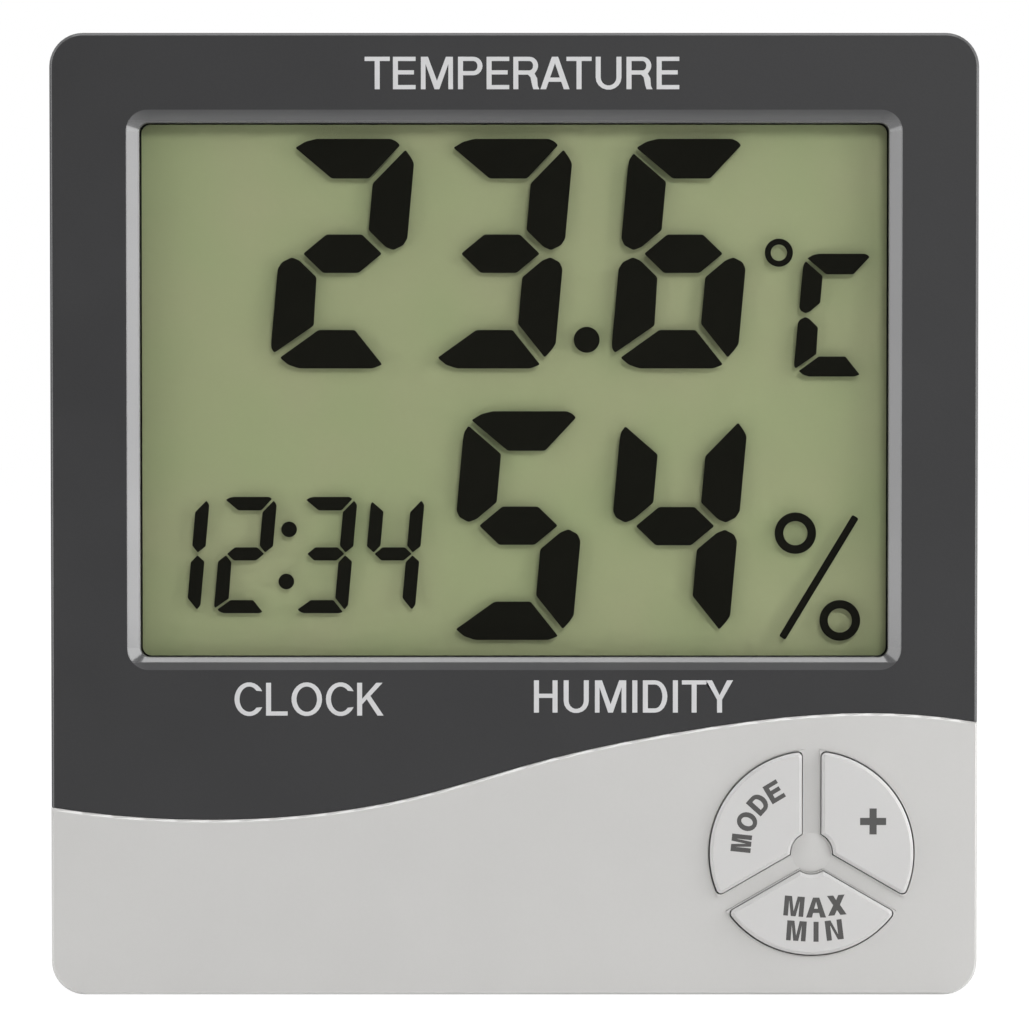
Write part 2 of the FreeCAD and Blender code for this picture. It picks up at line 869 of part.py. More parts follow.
def make_back_cover():
    cover = thicken(case_outline(0), cover_face, back_face)
    cover = cover.makeFillet(back_edge_radius, edges_on_plane(cover, back_face))
    cover = cover.cut(thicken(case_outline(wall), cover_face - overrun, back_inside))

    adds = cover_lips()
    # Recess tub for the stand
    tub_reach = stand_recess_half + tub_wall
    adds.append(block(
        -tub_reach, tub_reach, stand_recess_floor - tub_wall, back_inside + overrun / 2,
        wall / 2, stand_recess_high + tub_wall,
    ))
    # Battery bay and the ledge that the door rests over
    adds.append(block(
        -bay_half_length - bay_wall, bay_half_length + bay_wall, bay_floor_outside, back_inside,
        bay_z - bay_half_height - bay_wall, bay_z + bay_half_height + bay_wall,
    ))
    ledge_back = door_inside - door_seat_gap
    adds.append(door_opening(door_seat_width, ledge_back - door_seat_thickness, ledge_back))
    # Ribs that clamp the board on its pads
    for x, z in board_pad_places:
        half = board_rib_thickness / 2
        adds.append(block(
            x - half, x + half, board_back + board_rib_gap, back_inside + overrun / 2,
            z - board_pad_reach, z + board_pad_reach,
        ))
    # Corner bosses round the screw pockets
    seat = housing_screw_seat()
    reach = housing_screw_head_radius + housing_pocket_gap + housing_pocket_wall
    for x, z in housing_screw_places:
        adds.append(toward_corner(x, z, reach, wall - boss_bite, cover_face, back_inside + overrun / 2))
    cover = joined(cover, adds)

    cuts = []
    cuts.append(door_opening(door_gap, ledge_back, back_face + overrun))
    cuts.append(block(
        -bay_half_length, bay_half_length, bay_floor, back_face + overrun,
        bay_z - bay_half_height, bay_z + bay_half_height,
    ))
    for x in toe_centres():
        half = toe_width / 2 + toe_gap
        cuts.append(block(
            x - half, x + half, door_inside - toe_length - toe_gap, door_inside + toe_thickness + toe_gap,
            door_high - overrun, door_high + toe_length + 2 * toe_gap,
        ))
    for x, z in contact_leg_places():
        half = contact_leg_width / 2 + contact_leg_gap
        reach = contact_thickness / 2 + contact_leg_gap
        cuts.append(block(
            x - reach, x + reach, bay_floor_outside - overrun, bay_floor + overrun, z - half, z + half,
        ))
    recess = rounded_rectangle(
        -stand_recess_half, stand_recess_half, stand_recess_low, stand_recess_high, stand_barrel_radius,
    )
    cuts.append(thicken(recess, stand_recess_floor, back_face + overrun))
    pin_reach = stand_recess_half + stand_pin_length - stand_side_gap / 2
    cuts.append(rod_across(
        stand_hinge_y, stand_hinge_z, stand_pin_radius + stand_pin_clearance, -pin_reach, pin_reach,
    ))
    for side in (-1, 1):
        cuts.append(rod_back(
            side * stand_recess_half, stand_recess_low + scoop_rise, scoop_radius,
            back_face - scoop_depth, back_face + overrun,
        ))
    notch_floor = back_face - thumb_notch_depth
    cuts.append(rod_back(0, door_low - door_gap, thumb_notch_radius, notch_floor, back_face + overrun))
    pocket_radius = housing_screw_head_radius + housing_pocket_gap
    shank_hole = housing_screw_radius + screw_clearance
    for x, z in housing_screw_places:
        cuts.append(rod_back(x, z, pocket_radius, seat, back_face + overrun))
        cuts.append(rod_back(x, z, shank_hole, cover_face - overrun, seat + overrun))
    for x, z in button_places().values():
        cuts.append(rod_back(x, z, button_radius + button_gap, *back_wall_cut))
    return cover.cut(cuts + keyhole_cut() + vent_cuts())


def make_battery_door():
    plate = block(-door_half_width, door_half_width, door_inside, back_face, door_low, door_high)
    upright = [
        edge for edge in plate.Edges
        if edge.BoundBox.YLength > door_thickness / 2 and edge.CenterOfMass.z < bay_z
    ]
    plate = plate.makeFillet(door_rest_width, upright)
    toes = [
        block(
            x - toe_width / 2, x + toe_width / 2, door_inside, door_inside + toe_thickness,
            door_high - toe_length, door_high + toe_length,
        )
        for x in toe_centres()
    ]
    plate = joined(plate, toes)
    cuts = []
    # Slits that free the latch tongue
    for side in (-1, 1):
        x = side * latch_width / 2
        cuts.append(block(
            x - latch_slit / 2, x + latch_slit / 2, door_inside - overrun, back_face + overrun,
            door_low - overrun, door_low + latch_length,
        ))
    # Recessed grip with ribs above the latch
    grip_low = door_low + latch_length + grip_rib_pitch
    grip_high = grip_low + grip_ribs * grip_rib_pitch
    grip_floor = back_face - grip_recess
    pocket = rounded_rectangle(-grip_width / 2, grip_width / 2, grip_low, grip_high, grip_rib_pitch)
    cuts.append(thicken(pocket, grip_floor, back_face + overrun))
    plate = plate.cut(cuts)
    ribs = []
    for index in range(grip_ribs):
        z = grip_low + (index + 0.5) * grip_rib_pitch
        half = grip_width / 2 - grip_rib_pitch
        ribs.append(block(
            -half, half, grip_floor - grip_recess / 2, grip_floor + grip_rib_height,
            z - grip_rib_width / 2, z + grip_rib_width / 2,
        ))
    return joined(plate, ribs)


def make_battery_cell():
    """Turned can with a nub at its plus end, which faces +X."""
    body_length = cell_length - cell_nub_length
    x = cell_minus_x
    can = rod_across(cell_y, bay_z, cell_radius, x, x + body_length)
    rims = [
        edge for edge in can.Edges
        if edge.Curve.TypeId == "Part::GeomCircle" and edge.CenterOfMass.x > x + body_length / 2
    ]
    can = can.makeChamfer(cell_edge_chamfer, rims)
    nub = rod_across(cell_y, bay_z, cell_nub_radius, x + body_length - cell_edge_chamfer, x + cell_length)
    return joined(can, [nub])


def contact_plate(x_centre):
    """Upright contact plate at one end of the bay, with a leg down to the board."""
    x_low, x_high = x_centre - contact_thickness / 2, x_centre + contact_thickness / 2
    half = contact_width / 2
    plate = block(x_low, x_high, bay_floor, cell_y + half, bay_z - half, bay_z + half)
    half = contact_leg_width / 2
    leg = block(x_low, x_high, board_back, bay_floor, bay_z - half, bay_z + half)
    return joined(plate, [leg])


def make_battery_plus_contact():
    x = contact_leg_places()[1][0]
    face = x - contact_thickness / 2
    dimple = rod_across(cell_y, bay_z, plus_dimple_radius, face - plus_dimple_height, face)
    return joined(contact_plate(x), [dimple])


def arc_from(start, direction, end):
    """Arc that leaves start along a direction and ends at end."""
    chord = end - start
    side = chord - direction * chord.dot(direction)
    side.normalize()
    radius = chord.dot(chord) / (2 * chord.dot(side))
    centre = start + side * radius
    half_way = (start - centre) + (end - centre)
    half_way.normalize()
    return Part.Arc(start, centre + half_way * radius, end).toShape()


def biarc(start, leaving, end, arriving):
    """Two arcs with one tangent where they meet, which leave and arrive along given directions."""
    chord = end - start
    both = leaving + arriving
    turn = 1 - leaving.dot(arriving)
    reach = chord.dot(both)
    length = (-reach + math.sqrt(reach ** 2 + 2 * turn * chord.dot(chord))) / (2 * turn)
    first = start + leaving * length
    last = end - arriving * length
    middle = (first + last) * 0.5
    direction = last - first
    direction.normalize()
    return [arc_from(start, leaving, middle), arc_from(middle, direction, end)]


def spring_point(share):
    """Point and direction on the conical coil at a share of its length, from base to tip."""
    base_x = -bay_half_length + contact_end_gap / 2 + contact_thickness + spring_wire / 2
    rise = spring_length - spring_wire
    radius = spring_base_radius + share * (spring_tip_radius - spring_base_radius)
    turn = 2 * math.pi * spring_turns * share
    point = V(base_x + rise * share, cell_y + radius * math.cos(turn), bay_z + radius * math.sin(turn))
    swing = 2 * math.pi * spring_turns * radius
    narrowing = spring_tip_radius - spring_base_radius
    direction = V(
        rise,
        narrowing * math.cos(turn) - swing * math.sin(turn),
        narrowing * math.sin(turn) + swing * math.cos(turn),
    )
    direction.normalize()
    return point, direction


def spring_section(centre, direction):
    """Many-sided outline of the wire, square to its direction."""
    first = direction.cross(ACROSS)
    first.normalize()
    second = direction.cross(first)
    corners = []
    for index in range(spring_wire_sides):
        turn = 2 * math.pi * index / spring_wire_sides
        corners.append(centre + (first * math.cos(turn) + second * math.sin(turn)) * (spring_wire / 2))
    return Part.makePolygon(corners + corners[:1])


def make_battery_spring():
    """Conical coil on the minus contact, one unbroken wire on arcs of a quarter turn."""
    steps = round(4 * spring_turns)
    edges = []
    for index in range(steps):
        start, leaving = spring_point(index / steps)
        end, arriving = spring_point((index + 1) / steps)
        edges += biarc(start, leaving, end, arriving)
    path = Part.Wire(edges)
    start, direction = spring_point(0)
    section = spring_section(start, direction)
    coil = path.makePipeShell([section], True, False)
    turns_apart = (spring_length - spring_wire) / spring_turns
    slope = (spring_base_radius - spring_tip_radius) / spring_turns
    print("least gap between spring turns", round(math.hypot(turns_apart, slope) - spring_wire, 2))
    plate = contact_plate(contact_leg_places()[0][0])
    return Part.makeCompound([only_solid(coil), plate])


def make_stand_leg():
    """Plate with a rim and ribs inside, a hinge barrel at its top and a moulded pin at each side."""
    half = stand_width / 2
    inside = stand_outside - stand_thickness
    top = stand_hinge_z + stand_barrel_radius
    outline = rounded_rectangle(-half, half, stand_foot, top, stand_corner_radius)
    below = block(-half, half, inside - overrun, stand_outside + overrun, 0, stand_hinge_z)
    leg = thicken(outline, inside, stand_outside).common(below)
    barrel = rod_across(stand_hinge_y, stand_hinge_z, stand_barrel_radius, -half, half)
    pins = rod_across(
        stand_hinge_y, stand_hinge_z, stand_pin_radius, -half - stand_pin_length, half + stand_pin_length,
    )
    leg = joined(leg, [barrel, pins])
    leg = leg.cut(block(
        -half + stand_rim, half - stand_rim, inside - overrun, stand_outside - stand_skin,
        stand_foot + stand_rim, stand_hinge_z - 2 * stand_barrel_radius,
    ))
    ribs = []
    for share in stand_rib_shares:
        x = share * stand_width
        ribs.append(block(
            x - stand_rib_width / 2, x + stand_rib_width / 2, inside, stand_outside - stand_skin / 2,
            stand_foot + stand_rim / 2, stand_hinge_z - stand_barrel_radius,
        ))
    return joined(leg, ribs)


def make_rear_button(x, z):
    """Round cap with a flange behind the wall and a stem down to its switch."""
    top = back_face - button_recess
    flange_top = back_inside - button_flange_gap
    cap = rod_back(x, z, button_radius, flange_top - button_flange_thickness, top)
    cap = cap.makeChamfer(button_edge_chamfer, edges_on_plane(cap, top))
    flange_radius = button_radius + button_flange_width
    flange = rod_back(x, z, flange_radius, flange_top - button_flange_thickness, flange_top)
    stem = square_post(x, z, button_stem_width / 2, rear_plunger_face(), flange_top)
    return joined(cap, [flange, stem])


def rear_plunger_face():
    return board_back + rear_switch_height + rear_plunger_rise


def make_rear_plunger(x, z):
    inside = board_back + rear_switch_height - plunger_depth
    return rod_back(x, z, rear_plunger_radius, inside, rear_plunger_face())


def make_rear_switches():
    hole_radius = rear_plunger_radius + plunger_clearance
    return Part.makeCompound([
        switch_body(x, z, rear_switch_size, rear_switch_height, hole_radius, board_back, 1)
        for x, z in button_places().values()
    ])


def make_all():
    key_names = ("mode", "max_min", "plus")
    buttons = button_places()
    pieces = {
        "front_shell": make_front_shell(),
        "upper_bezel": make_upper_bezel(),
        "back_cover": make_back_cover(),
        "battery_door": make_battery_door(),
        "stand_leg": make_stand_leg(),
        "front_switches": make_front_switches(),
        "lcd_front_glass": make_lcd_front_glass(),
        "lcd_rear_glass": make_lcd_rear_glass(),
        "lcd_reflector": make_lcd_reflector(),
        "lcd_holder": make_lcd_holder(),
        "zebra_strip": make_zebra_strip(),
        "main_pcb": make_main_pcb(),
        "controller_blob": make_controller_blob(),
        "clock_crystal": make_clock_crystal(),
        "chip_parts": make_chip_parts(),
        "humidity_sensor": make_humidity_sensor(),
        "thermistor": make_thermistor(),
        "battery_cell": make_battery_cell(),
        "battery_spring": make_battery_spring(),
        "battery_plus_contact": make_battery_plus_contact(),
        "rear_switches": make_rear_switches(),
        "housing_screws": make_housing_screws(),
    }
    for name, angle in zip(key_names, key_angles()):
        pieces[name + "_key"] = make_key(angle)
        pieces[name + "_plunger"] = make_front_plunger(angle)
    for name, (x, z) in buttons.items():
        pieces[name + "_button"] = make_rear_button(x, z)
        pieces[name + "_plunger"] = make_rear_plunger(x, z)
    return pieces


def main():
    os.makedirs("parts", exist_ok=True)
    for name, shape in make_all().items():
        shape = only_solid(shape)
        if not shape.isValid() or not shape.Solids:
            print("not valid:", name)
        print(name, len(shape.Solids), round(shape.Volume, 2))
        shape.exportStep(f"parts/{name}.step")


main()
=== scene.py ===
import math

import bmesh
import bpy
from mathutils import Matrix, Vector


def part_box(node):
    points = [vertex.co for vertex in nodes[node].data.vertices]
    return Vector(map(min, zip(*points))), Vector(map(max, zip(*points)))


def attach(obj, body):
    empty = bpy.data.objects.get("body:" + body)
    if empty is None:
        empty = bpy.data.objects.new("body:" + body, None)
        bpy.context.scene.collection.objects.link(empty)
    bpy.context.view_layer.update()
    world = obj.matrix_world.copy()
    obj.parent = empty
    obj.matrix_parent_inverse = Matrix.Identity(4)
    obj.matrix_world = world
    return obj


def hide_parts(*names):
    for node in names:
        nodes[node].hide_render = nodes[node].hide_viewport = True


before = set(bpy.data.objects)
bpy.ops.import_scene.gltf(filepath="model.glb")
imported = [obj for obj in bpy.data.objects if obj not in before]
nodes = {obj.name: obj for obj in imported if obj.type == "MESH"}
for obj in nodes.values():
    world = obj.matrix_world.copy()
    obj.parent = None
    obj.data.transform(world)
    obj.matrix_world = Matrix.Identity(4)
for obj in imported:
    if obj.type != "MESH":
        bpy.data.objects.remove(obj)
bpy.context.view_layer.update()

# Lengths in this script are in millimetres and are turned into metres by this value
MM = 0.001
WHITE = (1.0, 1.0, 1.0, 1.0)
BLACK = (0.0, 0.0, 0.0, 1.0)


# Colours and shader nodes


def linear(red, green, blue):
    """The linear colour for display levels from 0 to 255, by the formula of the sRGB standard."""
    out = []
    for level in (red, green, blue):
        share = level / 255
        out.append(share / 12.92 if share <= 0.04045 else ((share + 0.055) / 1.055) ** 2.4)
    return (*out, 1.0)


def scaled(colour, share):
    return (colour[0] * share, colour[1] * share, colour[2] * share, 1.0)


def new_material(name):
    material = bpy.data.materials.new(name)
    material.use_nodes = True
    tree = material.node_tree
    tree.nodes.clear()
    output = tree.nodes.new("ShaderNodeOutputMaterial")
    return material, tree, output


def feed(tree, socket, value):
    """Gives an input a plain value, or links an output to it."""
    if isinstance(value, (int, float, tuple)):
        socket.default_value = value
    else:
        tree.links.new(value, socket)


def noise(tree, place, size, detail=3.0, roughness=0.55):
    """A noise texture whose patches are about this many millimetres across."""
    texture = tree.nodes.new("ShaderNodeTexNoise")
    texture.inputs["Scale"].default_value = 1 / (size * MM)
    texture.inputs["Detail"].default_value = detail
    texture.inputs["Roughness"].default_value = roughness
    tree.links.new(place, texture.inputs["Vector"])
    return texture.outputs["Fac"]


def spread(tree, value, low, high, value_low=0.3, value_high=0.7):
    """Maps a range of a value, such as the middle of a noise, to another range."""
    node = tree.nodes.new("ShaderNodeMapRange")
    node.inputs["From Min"].default_value = value_low
    node.inputs["From Max"].default_value = value_high
    node.inputs["To Min"].default_value = low
    node.inputs["To Max"].default_value = high
    tree.links.new(value, node.inputs["Value"])
    return node.outputs["Result"]


def computed(tree, operation, *values):
    """The result of a math node, whose inputs are numbers or outputs of other nodes."""
    node = tree.nodes.new("ShaderNodeMath")
    node.operation = operation
    for socket, value in zip(node.inputs, values):
        feed(tree, socket, value)
    return node.outputs[0]


def blend_colours(tree, factor, first, second):
    node = tree.nodes.new("ShaderNodeMix")
    node.data_type = "RGBA"
    tree.links.new(factor, node.inputs["Factor"])
    # The colour inputs of this node share their names with its other inputs, so they go by number
    feed(tree, node.inputs[6], first)
    feed(tree, node.inputs[7], second)
    return node.outputs[2]


def blend_shaders(tree, factor, first, second, output):
    node = tree.nodes.new("ShaderNodeMixShader")
    tree.links.new(factor, node.inputs["Fac"])
    tree.links.new(first, node.inputs[1])
    tree.links.new(second, node.inputs[2])
    tree.links.new(node.outputs["Shader"], output.inputs["Surface"])


def colour_ramp(tree, value, stops, interpolation):
    """A colour for each value from 0 to 1, from stops that are pairs of a position and a colour."""
    ramp = tree.nodes.new("ShaderNodeValToRGB")
    ramp.color_ramp.interpolation = interpolation
    while len(ramp.color_ramp.elements) < len(stops):
        ramp.color_ramp.elements.new(1.0)
    for element, (position, colour) in zip(ramp.color_ramp.elements, stops):
        element.position = position
        element.color = colour
    tree.links.new(value, ramp.inputs["Fac"])
    return ramp.outputs["Color"]


def object_place(tree):
    return tree.nodes.new("ShaderNodeTexCoord").outputs["Object"]


def axis_place(tree, place, axis):
    parts = tree.nodes.new("ShaderNodeSeparateXYZ")
    tree.links.new(place, parts.inputs["Vector"])
    return parts.outputs[axis]


def relief_normal(tree, height, depth, strength, normal=None):
    """The surface direction of a relief this many millimetres deep."""
    bump = tree.nodes.new("ShaderNodeBump")
    bump.inputs["Strength"].default_value = strength
    bump.inputs["Distance"].default_value = depth * MM
    tree.links.new(height, bump.inputs["Height"])
    if normal is not None:
        tree.links.new(normal, bump.inputs["Normal"])
    return bump.outputs["Normal"]


FLECK_SHADE = 0.55
RELIEF_STRENGTH = 0.6
BEVEL_SAMPLES = 4
# How much rougher the satin places of a polished surface are
SATIN_ROUGHER = 0.5


def surface(
    name,
    colour,
    vary=0.04,
    patch=12.0,
    grain=0.35,
    grain_depth=0.004,
    roughness=0.45,
    roughness_vary=0.06,
    metallic=0.0,
    edge=0.0,
    coat=0.0,
    coat_roughness=0.1,
    fleck=0.02,
    specular=0.5,
    polish=(),
):
    """A solid surface with slow and fine colour changes, uneven gloss, a fine relief and softened edges.

    Each entry of polish holds an axis, a place in millimetres where the surface is satin and one where it is
    polished. It is satin beyond the first place of any entry.
    """
    material, tree, output = new_material(name)
    place = object_place(tree)
    broad = spread(tree, noise(tree, place, patch, detail=2.0), 0.0, 1.0)
    fine_noise = noise(tree, place, grain, detail=4.0)
    fine = spread(tree, fine_noise, 0.0, 1.0)
    slow_colour = blend_colours(tree, broad, scaled(colour, 1 - vary), scaled(colour, 1 + vary))
    fine_level = spread(tree, fine_noise, 0.0, fleck * 2)
    full_colour = blend_colours(tree, fine_level, slow_colour, scaled(colour, FLECK_SHADE))
    shader = tree.nodes.new("ShaderNodeBsdfPrincipled")
    tree.links.new(full_colour, shader.inputs["Base Color"])
    rough = spread(tree, broad, roughness - roughness_vary, roughness + roughness_vary, 0.0, 1.0)
    shader.inputs["Metallic"].default_value = metallic
    shader.inputs["Coat Weight"].default_value = coat
    gloss = None
    for axis, satin_place, polished_place in polish:
        level = axis_place(tree, place, axis)
        if satin_place < polished_place:
            level = spread(tree, level, 0.0, 1.0, satin_place * MM, polished_place * MM)
        else:
            level = spread(tree, level, 1.0, 0.0, polished_place * MM, satin_place * MM)
        gloss = level if gloss is None else computed(tree, "MULTIPLY", gloss, level)
    if gloss is not None:
        tree.links.new(spread(tree, gloss, 0.0, coat, 0.0, 1.0), shader.inputs["Coat Weight"])
        rough = computed(
            tree, "SUBTRACT",
            spread(tree, gloss, roughness + SATIN_ROUGHER, roughness, 0.0, 1.0),
            spread(tree, broad, -roughness_vary, roughness_vary, 0.0, 1.0),
        )
    tree.links.new(rough, shader.inputs["Roughness"])
    shader.inputs["Coat Roughness"].default_value = coat_roughness
    shader.inputs["Specular IOR Level"].default_value = specular
    normal = None
    if edge:
        bevel = tree.nodes.new("ShaderNodeBevel")
        bevel.samples = BEVEL_SAMPLES
        bevel.inputs["Radius"].default_value = edge * MM
        normal = bevel.outputs["Normal"]
    normal = relief_normal(tree, fine, grain_depth, RELIEF_STRENGTH, normal)
    tree.links.new(normal, shader.inputs["Normal"])
    tree.links.new(shader.outputs["BSDF"], output.inputs["Surface"])
    return material


GLASS_WAVE_SIZE = 9.0
GLASS_RELIEF_STRENGTH = 0.3
GLASS_ROUGHNESS = 0.03
# The share that a clear sheet mirrors grows with this power of how far it is turned away
GRAZING_POWER = 5.0


def clear_sheet(name, facing_share, waviness):
    """A clear sheet: light goes straight through it, and a share is mirrored, more at grazing angles."""
    material, tree, output = new_material(name)
    waves = noise(tree, object_place(tree), GLASS_WAVE_SIZE, detail=1.0)
    weight = tree.nodes.new("ShaderNodeLayerWeight")
    weight.inputs["Blend"].default_value = 0.5
    turned_away = computed(tree, "POWER", weight.outputs["Facing"], GRAZING_POWER)
    mirrored = computed(tree, "MULTIPLY_ADD", turned_away, 1 - facing_share, facing_share)
    clear = tree.nodes.new("ShaderNodeBsdfTransparent")
    tint = blend_colours(tree, spread(tree, waves, 0.0, 1.0), WHITE, linear(254, 255, 254))
    tree.links.new(tint, clear.inputs["Color"])
    mirror = tree.nodes.new("ShaderNodeBsdfGlossy")
    mirror.inputs["Roughness"].default_value = GLASS_ROUGHNESS
    tree.links.new(relief_normal(tree, waves, waviness, GLASS_RELIEF_STRENGTH), mirror.inputs["Normal"])
    blend_shaders(tree, mirrored, clear.outputs["BSDF"], mirror.outputs["BSDF"], output)
    return material


# The battery's sleeve starts, changes colour and ends at these shares of its length
SLEEVE_START = 0.03
SLEEVE_CHANGE = 0.7
SLEEVE_END = 0.95


def cell_material(name):
    """A plain battery: bare metal ends and a two-tone printed sleeve with no words."""
    low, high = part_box("battery_cell")
    material, tree, output = new_material(name)
    place = object_place(tree)
    sleeve, band, metal = linear(44, 62, 84), linear(196, 160, 84), linear(205, 205, 200)
    along = spread(tree, axis_place(tree, place, "X"), 0.0, 1.0, low.x, high.x)
    stops = (0.0, SLEEVE_START, SLEEVE_CHANGE, SLEEVE_END)
    colour = colour_ramp(tree, along, list(zip(stops, (metal, sleeve, band, metal))), "CONSTANT")
    bare = colour_ramp(tree, along, list(zip(stops, (WHITE, BLACK, BLACK, WHITE))), "CONSTANT")
    worn_patches = noise(tree, place, size=1.2, detail=5.0)
    wear = spread(tree, worn_patches, low=0.0, high=0.1, value_low=0.5, value_high=0.75)
    shader = tree.nodes.new("ShaderNodeBsdfPrincipled")
    tree.links.new(blend_colours(tree, wear, colour, metal), shader.inputs["Base Color"])
    tree.links.new(bare, shader.inputs["Metallic"])
    rough = spread(tree, noise(tree, place, size=3.0), low=0.22, high=0.36)
    tree.links.new(rough, shader.inputs["Roughness"])
    normal = relief_normal(tree, noise(tree, place, size=0.8), depth=0.01, strength=0.5)
    tree.links.new(normal, shader.inputs["Normal"])
    tree.links.new(shader.outputs["BSDF"], output.inputs["Surface"])
    return material


TRACK_PITCH = 2.4
TRACK_GAP_SHARE = 0.06
TRACK_LENGTH_SHARE = 3.7
TRACK_ROW_SHARE = 0.5


def board_material(name):
    """Green solder mask over a weave, with copper tracks that show through it."""
    material, tree, output = new_material(name)
    place = object_place(tree)
    turn = tree.nodes.new("ShaderNodeMapping")
    turn.inputs["Rotation"].default_value = (math.pi / 2, 0.0, 0.0)
    tree.links.new(place, turn.inputs["Vector"])
    tracks = tree.nodes.new("ShaderNodeTexBrick")
    tracks.inputs["Scale"].default_value = 1 / (TRACK_PITCH * MM)
    tracks.inputs["Mortar Size"].default_value = TRACK_GAP_SHARE
    tracks.inputs["Brick Width"].default_value = TRACK_LENGTH_SHARE
    tracks.inputs["Row Height"].default_value = TRACK_ROW_SHARE
    tree.links.new(turn.outputs["Vector"], tracks.inputs["Vector"])
    weave = noise(tree, place, size=0.5, detail=2.0)
    mask = blend_colours(tree, spread(tree, weave, 0.0, 1.0), linear(24, 84, 52), linear(34, 102, 62))
    colour = blend_colours(tree, tracks.outputs["Fac"], mask, linear(70, 142, 84))
    shader = tree.nodes.new("ShaderNodeBsdfPrincipled")
    tree.links.new(colour, shader.inputs["Base Color"])
    tree.links.new(spread(tree, weave, low=0.28, high=0.42), shader.inputs["Roughness"])
    normal = relief_normal(tree, tracks.outputs["Fac"], depth=0.03, strength=1.0)
    tree.links.new(normal, shader.inputs["Normal"])
    tree.links.new(shader.outputs["BSDF"], output.inputs["Surface"])
    return material


# The slope round the display window, whose inner edge is its deepest one. A face is part of a slope when
# this much of its direction points to the front.
LEAN_LOW = 0.3
LEAN_HIGH = 0.95
SLOPE_MARGIN = 1.0 * MM
SAME_DEPTH = 0.05 * MM


def leans(face):
    return LEAN_LOW < -face.normal.y < LEAN_HIGH


bezel = nodes["upper_bezel"].data
glass_low, glass_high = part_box("lcd_front_glass")
slope_faces = [
    face for face in bezel.polygons
    if leans(face) and abs(face.center.x) < glass_high.x + SLOPE_MARGIN
    and glass_low.z - SLOPE_MARGIN < face.center.z < glass_high.z + SLOPE_MARGIN
]
slope_places = [bezel.vertices[index].co for face in slope_faces for index in face.vertices]
slope_depth = max(place.y for place in slope_places)
inner_places = [place for place in slope_places if place.y > slope_depth - SAME_DEPTH]
window_low = min(place.z for place in inner_places) / MM
window_high = max(place.z for place in inner_places) / MM
window_side = max(place.x for place in inner_places) / MM
bezel_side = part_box("upper_bezel")[1].x / MM

# Where the polish of the window's slope and of the bezel's outer edge starts and is full. The lower lip of
# the window stays satin, and so does the bezel's left edge.
SLOPE_POLISH = (
    ("Z", window_low - 0.60, window_low - 0.46),
    ("Z", window_high + 1.3, window_high - 0.1),
)
EDGE_POLISH = (
    ("X", -bezel_side + 0.14, -bezel_side + 0.20),
    ("Z", 103.6, 101.6),
)

# Materials

light_plastic = surface(
    "light_plastic", linear(206, 205, 203), vary=0.012, grain=0.30, grain_depth=0.003,
    roughness=0.40, fleck=0.012,
)
key_plastic = surface(
    "key_plastic", linear(210, 209, 208), vary=0.01, grain=0.26, grain_depth=0.003,
    roughness=0.34, fleck=0.01,
)
dark_plastic = surface(
    "dark_plastic", linear(59, 59, 60), vary=0.03, grain=0.28, grain_depth=0.006,
    roughness=0.48, fleck=0.05, specular=0.2,
)
polished_slope = surface(
    "polished_slope", linear(58, 58, 60), vary=0.03, grain=0.8, grain_depth=0.002,
    roughness=0.16, roughness_vary=0.03, edge=0.35, coat=1.0, coat_roughness=0.08, specular=1.0,
    polish=SLOPE_POLISH,
)
polished_edge = surface(
    "polished_edge", linear(58, 58, 60), vary=0.03, grain=0.8, grain_depth=0.002,
    roughness=0.16, roughness_vary=0.03, edge=0.15, coat=1.0, coat_roughness=0.08, specular=0.7,
    polish=EDGE_POLISH,
)
# The light shell's front edges: glossy, and lighter in colour than the shell, which is a painted highlight
edge_gloss_and_highlight = surface(
    "edge_gloss_and_highlight", linear(214, 213, 211), vary=0.01, grain=0.8, grain_depth=0.002,
    roughness=0.2, roughness_vary=0.03, coat=1.0, coat_roughness=0.1, specular=0.9,
)
film = surface(
    "display_film", linear(174, 180, 136), vary=0.006, patch=20.0, grain=0.22,
    grain_depth=0.002, roughness=0.62, fleck=0.03,
)
front_clear = clear_sheet("display_glass_front", facing_share=0.035, waviness=0.02)
rear_clear = clear_sheet("display_glass_rear", facing_share=0.004, waviness=0.01)
segment_black = surface(
    "segment_black", linear(24, 24, 19), vary=0.06, grain=0.2, grain_depth=0.001,
    roughness=0.6, specular=0.0,
)
print_grey = surface(
    "print_grey", linear(212, 212, 213), vary=0.02, patch=3.0, grain=0.12,
    grain_depth=0.003, roughness=0.55,
)
print_dark = surface(
    "print_dark", linear(80, 79, 78), vary=0.04, patch=3.0, grain=0.12,
    grain_depth=0.003, roughness=0.55,
)
holder_plastic = surface(
    "holder_plastic", linear(225, 224, 218), vary=0.02, grain=0.3, roughness=0.5
)
contact_rubber = surface(
    "contact_rubber", linear(196, 138, 120), vary=0.08, patch=0.8, grain=0.1, roughness=0.7
)
board_green = board_material("board")
epoxy = surface("epoxy", linear(24, 23, 24), vary=0.1, patch=2.0, grain=0.9, grain_depth=0.03, roughness=0.28)
can_metal = surface(
    "can_metal", linear(196, 196, 190), vary=0.05, patch=1.5, grain=0.12, roughness=0.26, metallic=1.0
)
chip_ceramic = surface(
    "chip_ceramic", linear(150, 124, 92), vary=0.12, patch=1.0, grain=0.1, roughness=0.4
)
sensor_plastic = surface("sensor_plastic", linear(222, 226, 224), vary=0.02, grain=0.2, roughness=0.45)
bead_epoxy = surface("bead_epoxy", linear(58, 32, 24), vary=0.1, patch=0.8, grain=0.3, roughness=0.22)
switch_plastic = surface("switch_plastic", linear(46, 46, 48), vary=0.05, grain=0.2, roughness=0.42)
plunger_plastic = surface("plunger_plastic", linear(226, 214, 178), vary=0.03, grain=0.2, roughness=0.4)
spring_metal = surface(
    "spring_metal", linear(212, 208, 198), vary=0.06, patch=1.2, grain=0.1, grain_depth=0.004,
    roughness=0.22, metallic=1.0,
)
